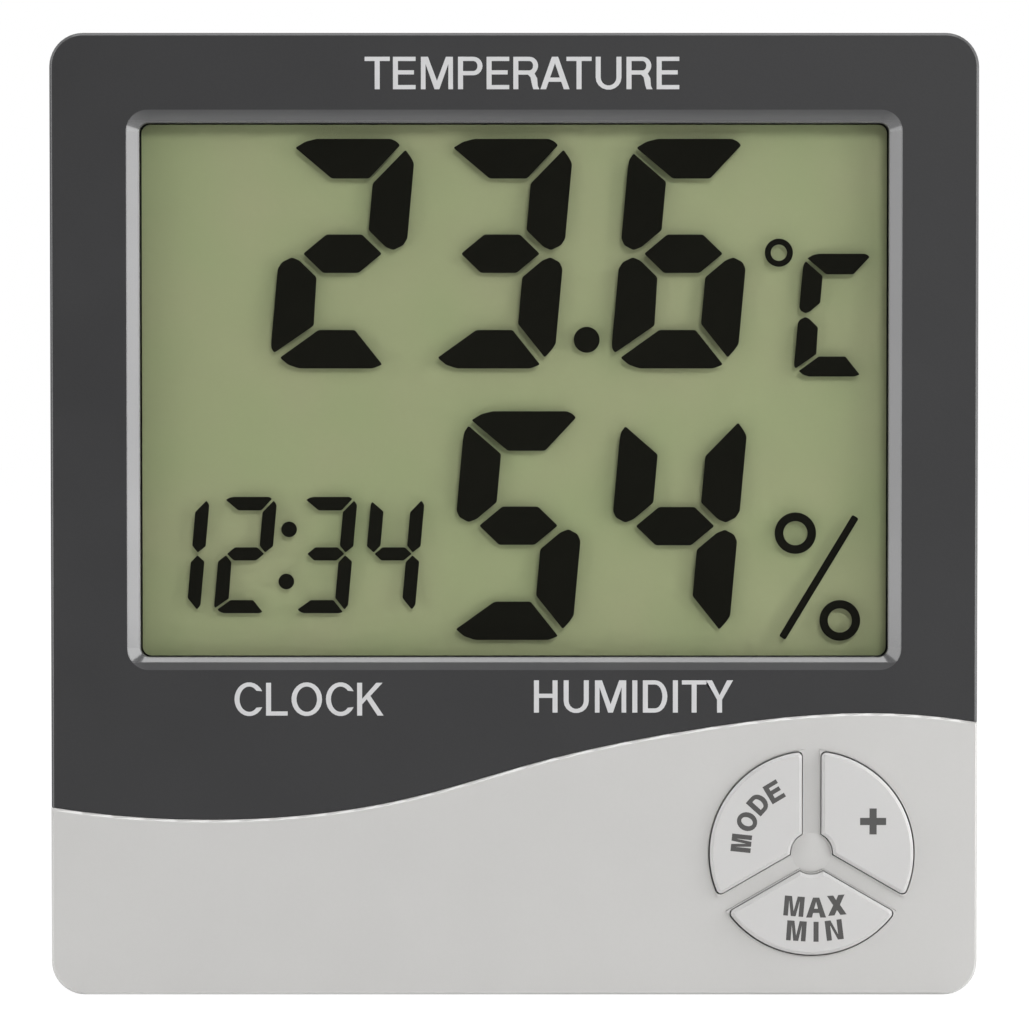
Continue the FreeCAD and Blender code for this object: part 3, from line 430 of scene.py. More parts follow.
screw_metal = surface(
    "screw_metal", linear(178, 178, 180), vary=0.08, patch=0.9, grain=0.08, grain_depth=0.006,
    roughness=0.3, metallic=1.0,
)
cell_can = cell_material("cell_can")

NODE_MATERIALS = {
    light_plastic: ("front_shell", "back_cover", "battery_door", "stand_leg"),
    key_plastic: ("mode_key", "plus_key", "max_min_key", "unit_button", "reset_button"),
    dark_plastic: ("upper_bezel",),
    film: ("lcd_reflector",),
    front_clear: ("lcd_front_glass",),
    rear_clear: ("lcd_rear_glass",),
    holder_plastic: ("lcd_holder",),
    contact_rubber: ("zebra_strip",),
    board_green: ("main_pcb",),
    epoxy: ("controller_blob",),
    can_metal: ("clock_crystal",),
    chip_ceramic: ("chip_parts",),
    sensor_plastic: ("humidity_sensor",),
    bead_epoxy: ("thermistor",),
    switch_plastic: ("front_switches", "rear_switches"),
    plunger_plastic: (
        "mode_plunger", "plus_plunger", "max_min_plunger", "unit_plunger", "reset_plunger",
    ),
    cell_can: ("battery_cell",),
    spring_metal: ("battery_spring", "battery_plus_contact"),
    screw_metal: ("housing_screws",),
}
for material, names in NODE_MATERIALS.items():
    for name in names:
        mesh = nodes[name].data
        mesh.materials.clear()
        mesh.materials.append(material)

# The slope round the display window and the outer edges of the bezel are polished
FRONT_BAND = 0.5 * MM
KEY_RING_CLEAR = 12.0 * MM
slope_numbers = {face.index for face in slope_faces}
bezel.materials.append(polished_slope)
bezel.materials.append(polished_edge)
for face in bezel.polygons:
    if leans(face):
        face.material_index = 1 if face.index in slope_numbers else 2

# So are the front edges of the light shell, but not those round the keys. Their material is also a little
# lighter than the shell's, which paints a highlight along these edges
shell = nodes["front_shell"].data
shell.materials.append(edge_gloss_and_highlight)
front_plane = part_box("front_shell")[0].y
ring_low, ring_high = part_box("mode_key")[0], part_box("plus_key")[1]
ring_middle = Vector(((ring_low.x + ring_high.x) / 2, (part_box("max_min_key")[0].z + ring_high.z) / 2))
for face in shell.polygons:
    away = (Vector((face.center.x, face.center.z)) - ring_middle).length > KEY_RING_CLEAR
    if leans(face) and away and face.center.y < front_plane + FRONT_BAND:
        face.material_index = 1


# Flat shapes

# Depths in millimetres of the faces that carry print, and of the display's segments
BEZEL_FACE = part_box("upper_bezel")[0].y / MM
KEY_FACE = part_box("mode_key")[0].y / MM
SEGMENT_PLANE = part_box("lcd_rear_glass")[0].y / MM
PRINT_RISE = 0.004
PRINT_DEPTH = 0.01
SEGMENT_HALF_THICKNESS = 0.01
SEGMENT_SPAN = (SEGMENT_PLANE - SEGMENT_HALF_THICKNESS, SEGMENT_PLANE + SEGMENT_HALF_THICKNESS)
# A rounded corner takes up at most this share of a side, and is bent in this many steps
ROUNDED_SHARE = 0.4
ROUNDED_STEPS = 3
CIRCLE_STEPS = 40


def finish_piece(name, shape, material, body):
    """Puts a finished shape into the scene as one piece that moves with a body."""
    bmesh.ops.recalc_face_normals(shape, faces=shape.faces[:])
    mesh = bpy.data.meshes.new(name)
    shape.to_mesh(mesh)
    shape.free()
    mesh.materials.append(material)
    piece = bpy.data.objects.new(name, mesh)
    bpy.context.scene.collection.objects.link(piece)
    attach(piece, body)
    return piece


def rounded(corners, reach):
    """An outline with each corner cut back by up to this reach and bent round."""
    out = []
    count = len(corners)
    for index in range(count):
        here = Vector(corners[index])
        before = Vector(corners[index - 1])
        after = Vector(corners[(index + 1) % count])
        back = min(reach, (before - here).length * ROUNDED_SHARE)
        ahead = min(reach, (after - here).length * ROUNDED_SHARE)
        start = here + (before - here).normalized() * back
        end = here + (after - here).normalized() * ahead
        for step in range(ROUNDED_STEPS + 1):
            share = step / ROUNDED_STEPS
            point = start * (1 - share) ** 2 + here * 2 * share * (1 - share) + end * share**2
            out.append(tuple(point))
    return out


def corners_of(low_x, low_y, high_x, high_y):
    return [(low_x, low_y), (high_x, low_y), (high_x, high_y), (low_x, high_y)]


def circle(x, z, radius):
    turns = [2 * math.pi * i / CIRCLE_STEPS for i in range(CIRCLE_STEPS)]
    return [(x + radius * math.cos(turn), z + radius * math.sin(turn)) for turn in turns]


def level_ring(shape, outline, depth):
    """The corners of an outline, all at one depth."""
    return [shape.verts.new((x * MM, depth * MM, z * MM)) for x, z in outline]


def plate(shape, outline, front, back):
    """Adds a thin flat plate with this outline to the shape."""
    near, far = level_ring(shape, outline, front), level_ring(shape, outline, back)
    shape.faces.new(near)
    shape.faces.new(far[::-1])
    count = len(outline)
    for i in range(count):
        j = (i + 1) % count
        shape.faces.new((near[i], far[i], far[j], near[j]))


def ring_plate(shape, x, z, outer, inner, front, back):
    """Adds a thin flat ring to the shape."""
    outer_near, outer_far, inner_near, inner_far = [
        level_ring(shape, circle(x, z, radius), depth) for radius in (outer, inner) for depth in (front, back)
    ]
    for first, second in (
        (outer_near, inner_near), (inner_far, outer_far), (outer_far, outer_near), (inner_near, inner_far),
    ):
        for i in range(CIRCLE_STEPS):
            j = (i + 1) % CIRCLE_STEPS
            shape.faces.new((first[i], first[j], second[j], second[i]))


# Display segments

SLANT = 0.09
# The bars are drawn on a digit this many units high. Its upright bars are this wide, its level middle bar
# reaches this far up and down, and its corners are rounded by this much, all in units.
SEGMENT_UNITS = 228
UPRIGHT_UNITS = 39.4
HALF_MIDDLE_UNITS = 19.1
SEGMENT_CORNER = 2
# This share of the height is a big digit's bar
BIG_BAR_SHARE = 0.175
SEGMENTS_OF = {
    "1": "bc", "2": "abged", "3": "abgcd", "4": "fgbc", "5": "afgcd", "6": "afgedc", "C": "afed",
}


def segment_outlines(width, height, bar, middle_share, pointed):
    """The seven bars of a digit, as outlines from its lower left corner, without the slant.

    The places are in units. Those that are measured from an end of a bar grow with the bar's thickness.
    """
    unit = height / SEGMENT_UNITS
    thick = bar / (SEGMENT_UNITS * BIG_BAR_SHARE * unit)
    w, h, m = width / unit, SEGMENT_UNITS, SEGMENT_UNITS * middle_share
    t = UPRIGHT_UNITS * thick

    def inner_end(level):
        """The end of an upright bar near the middle, from the digit's outer side inward."""
        if pointed:
            return [(0, level + 22 * thick), (21.5 * thick, level + 4 * thick), (t, level + 24 * thick)]
        return [
            (0, level + 15 * thick), (3.6 * thick, level + 8.3 * thick), (13.1 * thick, level + 3.5 * thick),
            (21 * thick, level + 6.7 * thick), (t, level + 23.4 * thick),
        ]

    def right_bar(level):
        end = [(w - x, z) for x, z in inner_end(level)]
        return [
            (w - 9.7 * thick, h - 10.8 * thick), (w - 3.5 * thick, h - 18.5 * thick), (w, h - 24.4 * thick),
            *end, (w - t, h - 44.3 * thick),
        ]

    upper_left = [
        (t, h - 42.6 * thick), (4.5 * thick, h - 14.4 * thick), (0.8 * thick, h - 20.4 * thick),
        (0, h - 28 * thick), *inner_end(m),
    ]
    lower_left = [
        (t + 1.5 * thick, 42.6 * thick), (4 * thick, 15.5 * thick), (0.6 * thick, 20 * thick),
        (0, 26 * thick), *[(x, 2 * m - z) for x, z in inner_end(m)],
    ]
    top = [
        (6.8 * thick, h - 8.9 * thick), (16.1 * thick, h - 2.9 * thick), (27.1 * thick, h),
        (w - 25.1 * thick, h), (w - 19.3 * thick, h - 2.6 * thick), (w - 15.4 * thick, h - 6.4 * thick),
        (w - 43.4 * thick, h - t), (45.7 * thick, h - t),
    ]
    bottom = [
        (9.9 * thick, 10.7 * thick), (18.6 * thick, 3.7 * thick), (30 * thick, 0), (w - 22.9 * thick, 0),
        (w - 13.7 * thick, 3.8 * thick), (w - 44.2 * thick, 38.3 * thick), (46 * thick, 38.3 * thick),
    ]
    half_middle = HALF_MIDDLE_UNITS * thick
    centre = [
        (24 * thick, m), (t + 6 * thick, m + half_middle), (w - t - 6 * thick, m + half_middle),
        (w - 24 * thick, m), (w - t - 6 * thick, m - half_middle), (t + 6 * thick, m - half_middle),
    ]

    def flipped(points):
        return [(x, h - z) for x, z in points][::-1]

    bars = {
        "a": top,
        "b": right_bar(m),
        "c": flipped(right_bar(h - m)),
        "d": bottom,
        "e": lower_left,
        "f": upper_left,
        "g": centre,
    }
    return {key: [(x * unit, z * unit) for x, z in points] for key, points in bars.items()}


def add_digit(shape, letter, left, bottom, width, height, bar, middle_share=0.5, pointed=False):
    bars = segment_outlines(width, height, bar, middle_share, pointed)
    middle = bottom + height / 2
    for key in SEGMENTS_OF[letter]:
        corners = []
        for x, z in bars[key]:
            high = z + bottom
            corners.append((left + x + SLANT * (high - middle), high))
        plate(shape, rounded(corners, SEGMENT_CORNER * height / SEGMENT_UNITS), *SEGMENT_SPAN)


def segment_dot(shape, x, z, radius):
    plate(shape, circle(x, z, radius), *SEGMENT_SPAN)


def segment_ring(shape, x, z, outer, inner):
    ring_plate(shape, x, z, outer, inner, *SEGMENT_SPAN)


def display_piece(name, shape):
    finish_piece(name, shape, segment_black, "case")


# The film's two faces stand a little inside those of the solid, so that they don't lie in the glass's plane
FILM_INSET = 0.02
FILM_CORNER = 0.6
film_low, film_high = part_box("lcd_reflector")
film_low, film_high = film_low / MM, film_high / MM
shape = bmesh.new()
corners = corners_of(film_low.x, film_low.z, film_high.x, film_high.z)
plate(shape, rounded(corners, FILM_CORNER), film_low.y + FILM_INSET, film_high.y - FILM_INSET)
reflecting_film = finish_piece("reflecting_film", shape, film, "case")
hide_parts("lcd_reflector")

# Sizes and places of the display's signs. Places are millimetres from the middle of the case and from its
# base, and a digit's place is that of its lower left corner.
BIG_HEIGHT = 24.70
BIG_WIDTH = BIG_HEIGHT * 0.554
BIG_BAR = BIG_HEIGHT * BIG_BAR_SHARE

TEMPERATURE_DIGITS = (("2", -25.34), ("3", -8.33), ("6", 11.39))
TEMPERATURE_BOTTOM = 67.24
POINT_PLACE = (7.81, 70.33)
POINT_RADIUS = 1.40
shape = bmesh.new()
for letter, left in TEMPERATURE_DIGITS:
    add_digit(shape, letter, left, TEMPERATURE_BOTTOM, BIG_WIDTH, BIG_HEIGHT, BIG_BAR)
segment_dot(shape, *POINT_PLACE, POINT_RADIUS)
display_piece("segments_temperature", shape)

DEGREE_PLACE = (28.51, 79.70)
UNIT_PLACE = (30.64, 66.37)
UNIT_WIDTH = 7.96
UNIT_HEIGHT = 13.22
UNIT_BAR = UNIT_HEIGHT * 0.17
shape = bmesh.new()
segment_ring(shape, *DEGREE_PLACE, outer=1.52, inner=0.87)
add_digit(shape, "C", *UNIT_PLACE, UNIT_WIDTH, UNIT_HEIGHT, UNIT_BAR)
display_piece("segments_unit", shape)

HUMIDITY_DIGITS = (("5", -6.38, 37.93), ("4", 10.52, 37.88))
shape = bmesh.new()
for letter, left, bottom in HUMIDITY_DIGITS:
    add_digit(shape, letter, left, bottom, BIG_WIDTH, BIG_HEIGHT, BIG_BAR)
display_piece("segments_humidity", shape)

UPPER_RING_PLACE = (30.35, 49.47)
LOWER_RING_PLACE = (35.17, 40.04)
SLASH_LOW = (28.94, 38.15)
SLASH_HIGH = (36.85, 51.26)
SLASH_WIDTH = 0.8
SLASH_CORNER = 0.2
shape = bmesh.new()
segment_ring(shape, *UPPER_RING_PLACE, outer=2.24, inner=1.3)
segment_ring(shape, *LOWER_RING_PLACE, outer=2.21, inner=1.3)
slash_low, slash_high = Vector(SLASH_LOW), Vector(SLASH_HIGH)
along = (slash_high - slash_low).normalized()
across = Vector((-along.y, along.x)) * SLASH_WIDTH / 2
slash = [slash_low - across, slash_high - across, slash_high + across, slash_low + across]
plate(shape, rounded([tuple(point) for point in slash], SLASH_CORNER), *SEGMENT_SPAN)
display_piece("segments_percent", shape)

TIME_DIGITS = (("1", -39.19), ("2", -31.92), ("3", -23.25), ("4", -15.99))
TIME_BOTTOM = 40.82
TIME_WIDTH = 5.80
TIME_HEIGHT = 12.57
TIME_BAR = TIME_HEIGHT * 0.118
TIME_MIDDLE_SHARE = 0.51
COLON_PLACES = ((-24.30, 49.88), (-24.61, 44.25))
COLON_RADIUS = 0.85
shape = bmesh.new()
for letter, left in TIME_DIGITS:
    add_digit(
        shape, letter, left, TIME_BOTTOM, TIME_WIDTH, TIME_HEIGHT, TIME_BAR, TIME_MIDDLE_SHARE, pointed=True
    )
for place in COLON_PLACES:
    segment_dot(shape, *place, COLON_RADIUS)
display_piece("segments_time", shape)


# Printed words


def bend(x, z, reach_x, reach_z, start, end, steps=9):
    """Points along part of an ellipse, between two angles in degrees."""
    angles = [math.radians(start + (end - start) * step / steps) for step in range(steps + 1)]
    return [(x + reach_x * math.cos(angle), z + reach_z * math.sin(angle)) for angle in angles]


# A black sheet between the bezel and the glass is painted shade: it stands for the shadow in the gap there
# and shows as a thin dark line along the window's edge
WINDOW_RADIUS = 1.0
SHADE_SHEET_LIP = 0.05
SHADE_SHEET_HIDDEN = 0.6
SHADE_SHEET_PLANE = (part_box("upper_bezel")[1].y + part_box("lcd_front_glass")[0].y) / 2 / MM


def window_outline(grow):
    reach = WINDOW_RADIUS + grow
    x, low, high = window_side + grow - reach, window_low - grow + reach, window_high + grow - reach
    return (
        bend(x, low, reach, reach, -90, 0) + bend(x, high, reach, reach, 0, 90)
        + bend(-x, high, reach, reach, 90, 180) + bend(-x, low, reach, reach, 180, 270)
    )


# How wide each capital is for a height of 1
LETTER_WIDTHS = {
    "A": 0.93, "C": 0.86, "D": 0.80, "E": 0.72, "H": 0.77, "I": 0.0, "K": 0.82, "L": 0.67, "M": 1.02,
    "N": 0.78, "O": 0.95, "P": 0.78, "R": 0.83, "T": 0.80, "U": 0.82, "X": 0.86, "Y": 0.88,
}
# The room that a letter leaves at each side, for a height of 1
LETTER_SIDES = {
    "A": 0.02, "C": 0.06, "D": 0.08, "E": 0.07, "K": 0.05, "L": 0.06, "O": 0.06, "P": 0.06, "R": 0.06,
    "T": 0.03, "X": 0.02, "Y": 0.02,
}
PLAIN_SIDE = 0.10
# Pairs that stand closer together
CLOSER = {"AT": 0.15, "RA": 0.05, "TY": 0.06}
# Level strokes are this much thinner than upright ones, the middle bar of E and H stands this high, and
# round letters reach this far past the height of the others
LEVEL_STROKE_SHARE = 0.84
MIDDLE_BAR = 0.52
OVERSHOOT = 0.015


def capital(letter, w, s, t):
    """The outlines of a plain capital 1 high and w wide, with upright strokes s and level strokes t thick."""
    if letter == "I":
        return [[(0, 0), (s, 0), (s, 1), (0, 1)]]
    if letter == "L":
        return [[(0, 0), (w, 0), (w, t), (s, t), (s, 1), (0, 1)]]
    if letter == "T":
        a, b = (w - s) / 2, (w + s) / 2
        return [[(a, 0), (b, 0), (b, 1 - t), (w, 1 - t), (w, 1), (0, 1), (0, 1 - t), (a, 1 - t)]]
    if letter == "H":
        a, b = MIDDLE_BAR - t / 2, MIDDLE_BAR + t / 2
        return [
            [
                (0, 0), (s, 0), (s, a), (w - s, a), (w - s, 0), (w, 0), (w, 1), (w - s, 1), (w - s, b),
                (s, b), (s, 1), (0, 1),
            ]
        ]
    if letter == "E":
        a, b, c = MIDDLE_BAR - t / 2, MIDDLE_BAR + t / 2, 0.93 * w
        return [
            [
                (0, 0), (w, 0), (w, t), (s, t), (s, a), (c, a), (c, b), (s, b), (s, 1 - t), (w, 1 - t),
                (w, 1), (0, 1),
            ]
        ]
    if letter == "M":
        a, b = 0.92 * s, 1.4 * s
        return [
            [
                (0, 0), (a, 0), (a, 0.78), (w / 2 - 0.48 * s, 0), (w / 2 + 0.48 * s, 0), (w - a, 0.78),
                (w - a, 0), (w, 0), (w, 1), (w - b, 1), (w / 2, 0.26), (b, 1), (0, 1),
            ]
        ]
    if letter == "N":
        a = 1.15 * s
        return [
            [(0, 0), (s, 0), (s, 0.74), (w - a, 0), (w, 0), (w, 1), (w - s, 1), (w - s, 0.26), (a, 1), (0, 1)]
        ]
    if letter == "A":
        foot, top = 1.15 * s, 0.80

        def leg(z):
            return foot + (w / 2 - foot) * z / top

        low, high = 0.23, 0.23 + t
        apex = 0.62 * s
        outer = [
            (0, 0), (foot, 0), (leg(low), low), (w - leg(low), low), (w - foot, 0), (w, 0), (w / 2 + apex, 1),
            (w / 2 - apex, 1),
        ]
        return [outer, [(leg(high), high), (w - leg(high), high), (w / 2, top)]]
    if letter == "K":
        return [
            [
                (0, 0), (s, 0), (s, 0.34), (0.34 * w + 0.02, 0.50), (w - 1.2 * s, 0), (w, 0),
                (0.34 * w + 0.85 * s, 0.60), (w - 0.03, 1), (w - 0.03 - 1.25 * s, 1), (s, 0.51), (s, 1),
                (0, 1),
            ]
        ]
    if letter == "Y":
        a = 1.2 * s
        return [
            [
                (w / 2 - s / 2, 0), (w / 2 + s / 2, 0), (w / 2 + s / 2, 0.40), (w, 1), (w - a, 1),
                (w / 2, 0.54), (a, 1), (0, 1), (w / 2 - s / 2, 0.40),
            ]
        ]
    if letter == "X":
        a, b, c = 1.25 * s, 0.02, 0.68 * s
        return [
            [
                (0, 0), (a, 0), (w / 2, 0.5 - 0.95 * s), (w - a, 0), (w, 0), (w / 2 + c, 0.51), (w - b, 1),
                (w - b - a, 1), (w / 2, 0.5 + s), (b + a, 1), (b, 1), (w / 2 - c, 0.51),
            ]
        ]
    if letter == "U":
        low = 0.36
        outer = bend(w / 2, low, w / 2, low + OVERSHOOT, 180, 360)
        inner = bend(w / 2, low, w / 2 - s, low + OVERSHOOT - t, 360, 180)
        return [[(0, 1)] + outer + [(w, 1), (w - s, 1)] + inner + [(s, 1)]]
    if letter == "O":
        # The last point of each ring stays short of the first one
        tall = 0.5 + OVERSHOOT
        outer = bend(w / 2, 0.5, w / 2, tall, 0, 350, steps=24)
        return [outer, bend(w / 2, 0.5, w / 2 - s, tall - t, 0, 350, steps=24)]
    if letter == "C":
        # The bowl is cut off at its right, so it is wider than the letter
        reach, tall = w / 1.88, 0.5 + OVERSHOOT
        outer = bend(reach, 0.5, reach, tall, 28, 332, steps=22)
        return [outer + bend(reach, 0.5, reach - s, tall - t, 318, 42, steps=22)]
    if letter == "D":
        reach = 0.5 * w
        x = w - reach
        outer = [(0, 0)] + bend(x, 0.5, reach, 0.5, -90, 90, steps=12) + [(0, 1)]
        return [outer, [(s, t)] + bend(x, 0.5, reach - s, 0.5 - t, -90, 90, steps=12) + [(s, 1 - t)]]
    if letter == "P":
        low, reach = 0.43, 0.28
        x, middle, half = w - reach, 0.715, 0.285
        outer = [(0, 0), (s, 0), (s, low)] + bend(x, middle, reach, half, -90, 90, steps=10) + [(0, 1)]
        hole = [(s, low + t)] + bend(x, middle, reach - s, half - t, -90, 90, steps=10) + [(s, 1 - t)]
        return [outer, hole]
    # The only letter left is R
    low, reach = 0.45, 0.27
    x, middle, half = w - 0.31, 0.725, 0.275
    leg = [
        (0.56 * w, low), (w - s - 0.12, 0.37), (w - s - 0.07, 0.12), (w - s - 0.03, 0), (w, 0),
        (w - 0.05, 0.10), (w - 0.07, 0.34), (w - 0.15, 0.48),
    ]
    outer = [(0, 0), (s, 0), (s, low)] + leg + bend(x, middle, reach, half, -40, 90, steps=8) + [(0, 1)]
    hole = [(s, low + t)] + bend(x, middle, reach - s, half - t, -90, 90, steps=10) + [(s, 1 - t)]
    return [outer, hole]


def turned(points, centre, angle):
    """Points given from a centre, turned about it by an angle in degrees."""
    turn = math.radians(angle)
    return [
        (
            centre[0] + x * math.cos(turn) - z * math.sin(turn),
            centre[1] + x * math.sin(turn) + z * math.cos(turn),
        )
        for x, z in points
    ]


def set_word(word, centre, size, stroke, angle=0.0):
    """The outlines in millimetres of a word fitted to a width and a height, turned about its centre."""
    width, height = size
    share = stroke / height
    sides = [LETTER_SIDES.get(letter, PLAIN_SIDE) for letter in word]
    gaps = [
        sides[i] + sides[i + 1] - CLOSER.get(word[i : i + 2], 0) for i in range(len(word) - 1)
    ] + [0]
    stems = share * word.count("I")
    natural = sum(LETTER_WIDTHS[letter] for letter in word) + sum(gaps)
    fit = (width / height - stems) / natural if natural else 1.0
    outlines = []
    start = -width / 2
    for letter, gap in zip(word, gaps):
        wide = LETTER_WIDTHS[letter] * fit
        for outline in capital(letter, wide, share, share * LEVEL_STROKE_SHARE):
            placed = [(start + x * height, (z - 0.5) * height) for x, z in outline]
            outlines.append(turned(placed, centre, angle))
        start += ((wide if letter != "I" else share) + gap * fit) * height
    return outlines


MERGE_DISTANCE = 1e-5


def printed(name, outlines, face, material, body, rise=PRINT_RISE, depth=PRINT_DEPTH):
    """Prints filled outlines on a face that looks to the front, as one thin piece."""
    curve = bpy.data.curves.new(name, "CURVE")
    curve.dimensions = "2D"
    curve.fill_mode = "BOTH"
    for outline in outlines:
        spline = curve.splines.new("POLY")
        spline.points.add(len(outline) - 1)
        for point, (x, z) in zip(spline.points, outline):
            point.co = (x, z, 0.0, 1.0)
        spline.use_cyclic_u = True
    curve.extrude = (rise + depth) / 2
    holder = bpy.data.objects.new(name, curve)
    bpy.context.scene.collection.objects.link(holder)
    bpy.context.view_layer.update()
    mesh = bpy.data.meshes.new_from_object(holder.evaluated_get(bpy.context.evaluated_depsgraph_get()))
    bpy.data.objects.remove(holder)
    bpy.data.curves.remove(curve)
    shape = bmesh.new()
    shape.from_mesh(mesh)
    bpy.data.meshes.remove(mesh)
    bmesh.ops.remove_doubles(shape, verts=shape.verts[:], dist=MERGE_DISTANCE)
    middle = face + (depth - rise) / 2
    for vert in shape.verts:
        x, z, height = vert.co
        vert.co = Vector((x, middle - height, z)) * MM
    finish_piece(name, shape, material, body)


# A thin lip inside each key opening leaves a fine, even line round the key. The key corners are rounded,
# and each key spreads this far to both sides of its middle, in degrees.
KEY_GAP = 0.2
KEY_CORNER = 0.5
KEY_ANGLES = (30, 150, 270)
KEY_SPREAD = 60
SPOKE_HALF = 0.85
HUB_RADIUS = 2.1
OPENING_RADIUS = 11.1
LIP_WIDTH = 0.09
RIM_LIP_WIDTH = 0.03
LIP_DEPTH = 0.35
RIM_STEPS = 40


def opening_outline(inset, rim_inset, corner):
    """The outline of a key opening about the x axis.

    It is drawn in by an inset along the spokes and the hub and by another one at the rim, and its outer
    corners are rounded.
    """
    side, outer, hub = SPOKE_HALF + inset, OPENING_RADIUS - rim_inset, HUB_RADIUS + inset
    near = KEY_SPREAD - math.degrees(math.asin(side / hub))
    middle = outer - corner
    far = KEY_SPREAD - math.degrees(math.asin((side + corner) / middle))
    points = bend(0, 0, outer, outer, -far, far, steps=RIM_STEPS)
    if corner:
        x, z = middle * math.cos(math.radians(far)), middle * math.sin(math.radians(far))
        points = (
            bend(x, -z, corner, corner, -KEY_SPREAD - 90, -far) + points
            + bend(x, z, corner, corner, far, KEY_SPREAD + 90)
        )
    return points + bend(0, 0, hub, hub, near, -near)


lip_outer = opening_outline(inset=0.0, rim_inset=0.0, corner=0.0)
lip_inner = opening_outline(LIP_WIDTH, RIM_LIP_WIDTH, KEY_CORNER + KEY_GAP - LIP_WIDTH)
ring_centre = (ring_middle.x / MM, ring_middle.y / MM)
outlines = [turned(line, ring_centre, angle) for angle in KEY_ANGLES for line in (lip_outer, lip_inner)]
printed(
    "key_opening_lips", outlines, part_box("front_shell")[0].y / MM, light_plastic, "case",
    rise=0.0, depth=LIP_DEPTH,
)

# The photograph is 1029 pixels wide. At the front of the case one pixel is this many millimetres
PIXEL = 0.10735
PHOTO_CENTRE_X = 514.9
PHOTO_FLOOR_Y = 993.5


def photo_x(column):
    return (column - PHOTO_CENTRE_X) * PIXEL


def photo_z(row):
    return (PHOTO_FLOOR_Y - row) * PIXEL


def photo_box(left, right, top, bottom):
    """Centre and size in millimetres of a box in the photograph."""
    centre = ((photo_x(left) + photo_x(right)) / 2, (photo_z(top) + photo_z(bottom)) / 2)
    return centre, ((right - left) * PIXEL, (bottom - top) * PIXEL)


# The black sheet that paints the gap's shade round the display window
printed(
    "window_gap_painted_shade", [window_outline(SHADE_SHEET_HIDDEN), window_outline(-SHADE_SHEET_LIP)], SHADE_SHEET_PLANE, segment_black,
    "case",
)

# Words of the bezel. Their edges are the left, right, top and bottom one of each in the photograph.
WORD_STROKE = 5.0 * PIXEL
TEMPERATURE_EDGES = (366.2, 679, 58, 90.2)
CLOCK_EDGES = (235.6, 384.4, 681.2, 714.0)
HUMIDITY_EDGES = (534.6, 733.4, 678.7, 711.0)
for name, word, edges in (
    ("words_temperature", "TEMPERATURE", TEMPERATURE_EDGES),
    ("words_clock", "CLOCK", CLOCK_EDGES),
    ("words_humidity", "HUMIDITY", HUMIDITY_EDGES),
):
    centre, size = photo_box(*edges)
    printed(name, set_word(word, centre, size, WORD_STROKE), BEZEL_FACE, print_grey, "case")

# Letters of the keys: the middle of each in the photograph, its width there and its turn in degrees
KEY_LETTER_HEIGHT = 20 * PIXEL
KEY_STROKE = 5.1 * PIXEL
MODE_LETTERS = (
    ("M", 741.2, 840.6, 17.6, 84), ("O", 746.9, 819.0, 18.6, 66),
    ("D", 758.5, 801.1, 16.5, 48), ("E", 773.9, 789.2, 15.5, 31),
)
MAX_MIN_LETTERS = (
    ("M", 793.9, 903.5, 20.0, -5), ("A", 815.9, 904.9, 20.0, 0), ("X", 836.3, 902.5, 18.5, 5),
    ("M", 796.3, 928.2, 19.5, -4), ("I", 815.9, 929.1, 5.1, 0), ("N", 834.0, 927.3, 17.0, 7),
)
# The middle of the plus sign in the photograph
PLUS_COLUMN = 872.5
PLUS_ROW = 818.8
PLUS_REACH = 13 * PIXEL
PLUS_HALF = 3.6 * PIXEL


def key_letters(name, rows, key):
    outlines = []
    for letter, column, row, width, turn in rows:
        centre = (photo_x(column), photo_z(row))
        outlines += set_word(letter, centre, (width * PIXEL, KEY_LETTER_HEIGHT), KEY_STROKE, turn)
    printed(name, outlines, KEY_FACE, print_dark, key)


key_letters("words_mode", MODE_LETTERS, "mode_key")
key_letters("words_max_min", MAX_MIN_LETTERS, "max_min_key")

# One arm's corners, turned round the sign's middle
plus_centre = (photo_x(PLUS_COLUMN), photo_z(PLUS_ROW))
arm = ((PLUS_HALF, PLUS_HALF), (PLUS_HALF, PLUS_REACH), (-PLUS_HALF, PLUS_REACH))
plus_outline = [point for angle in (0, 90, 180, 270) for point in turned(arm, plus_centre, angle)]
shape = bmesh.new()
plate(shape, plus_outline, KEY_FACE - PRINT_RISE, KEY_FACE + PRINT_DEPTH)
finish_piece("words_plus", shape, print_dark, "plus_key")


# Floor, world, lamps and camera


def reaches(tree, *kinds):
    """1 for rays of these kinds, and 0 for the others."""
    path = tree.nodes.new("ShaderNodeLightPath")
    value = path.outputs[f"Is {kinds[0]} Ray"]
    for kind in kinds[1:]:
        value = computed(tree, "MAXIMUM", value, path.outputs[f"Is {kind} Ray"])
    return value


# The floor, in metres, lies just under the base and ends in front of the case, where nothing needs it
FLOOR_HALF = 4.0
FLOOR_FRONT = -0.30
FLOOR_HEIGHT = -0.02 * MM
FLOOR_GREY = 0.85
# It glows by itself where it is seen directly or mirrored, with this share of this brightness
FLOOR_GLOW_SHARE = 0.82
FLOOR_GLOW = 1.17

corners = corners_of(-FLOOR_HALF, FLOOR_FRONT, FLOOR_HALF, FLOOR_HALF)
shape = bmesh.new()
shape.faces.new([shape.verts.new((x, y, FLOOR_HEIGHT)) for x, y in corners])
mesh = bpy.data.meshes.new("floor")
shape.to_mesh(mesh)
shape.free()
floor = bpy.data.objects.new("floor", mesh)
bpy.context.scene.collection.objects.link(floor)
material, tree, output = new_material("floor_white")
matt = tree.nodes.new("ShaderNodeBsdfDiffuse")
matt.inputs["Color"].default_value = (FLOOR_GREY, FLOOR_GREY, FLOOR_GREY, 1.0)
glow = tree.nodes.new("ShaderNodeEmission")
glow.inputs["Strength"].default_value = FLOOR_GLOW
share = computed(tree, "MULTIPLY", reaches(tree, "Camera", "Glossy", "Transmission"), FLOOR_GLOW_SHARE)
blend_shaders(tree, share, matt.outputs["BSDF"], glow.outputs["Emission"], output)
mesh.materials.append(material)

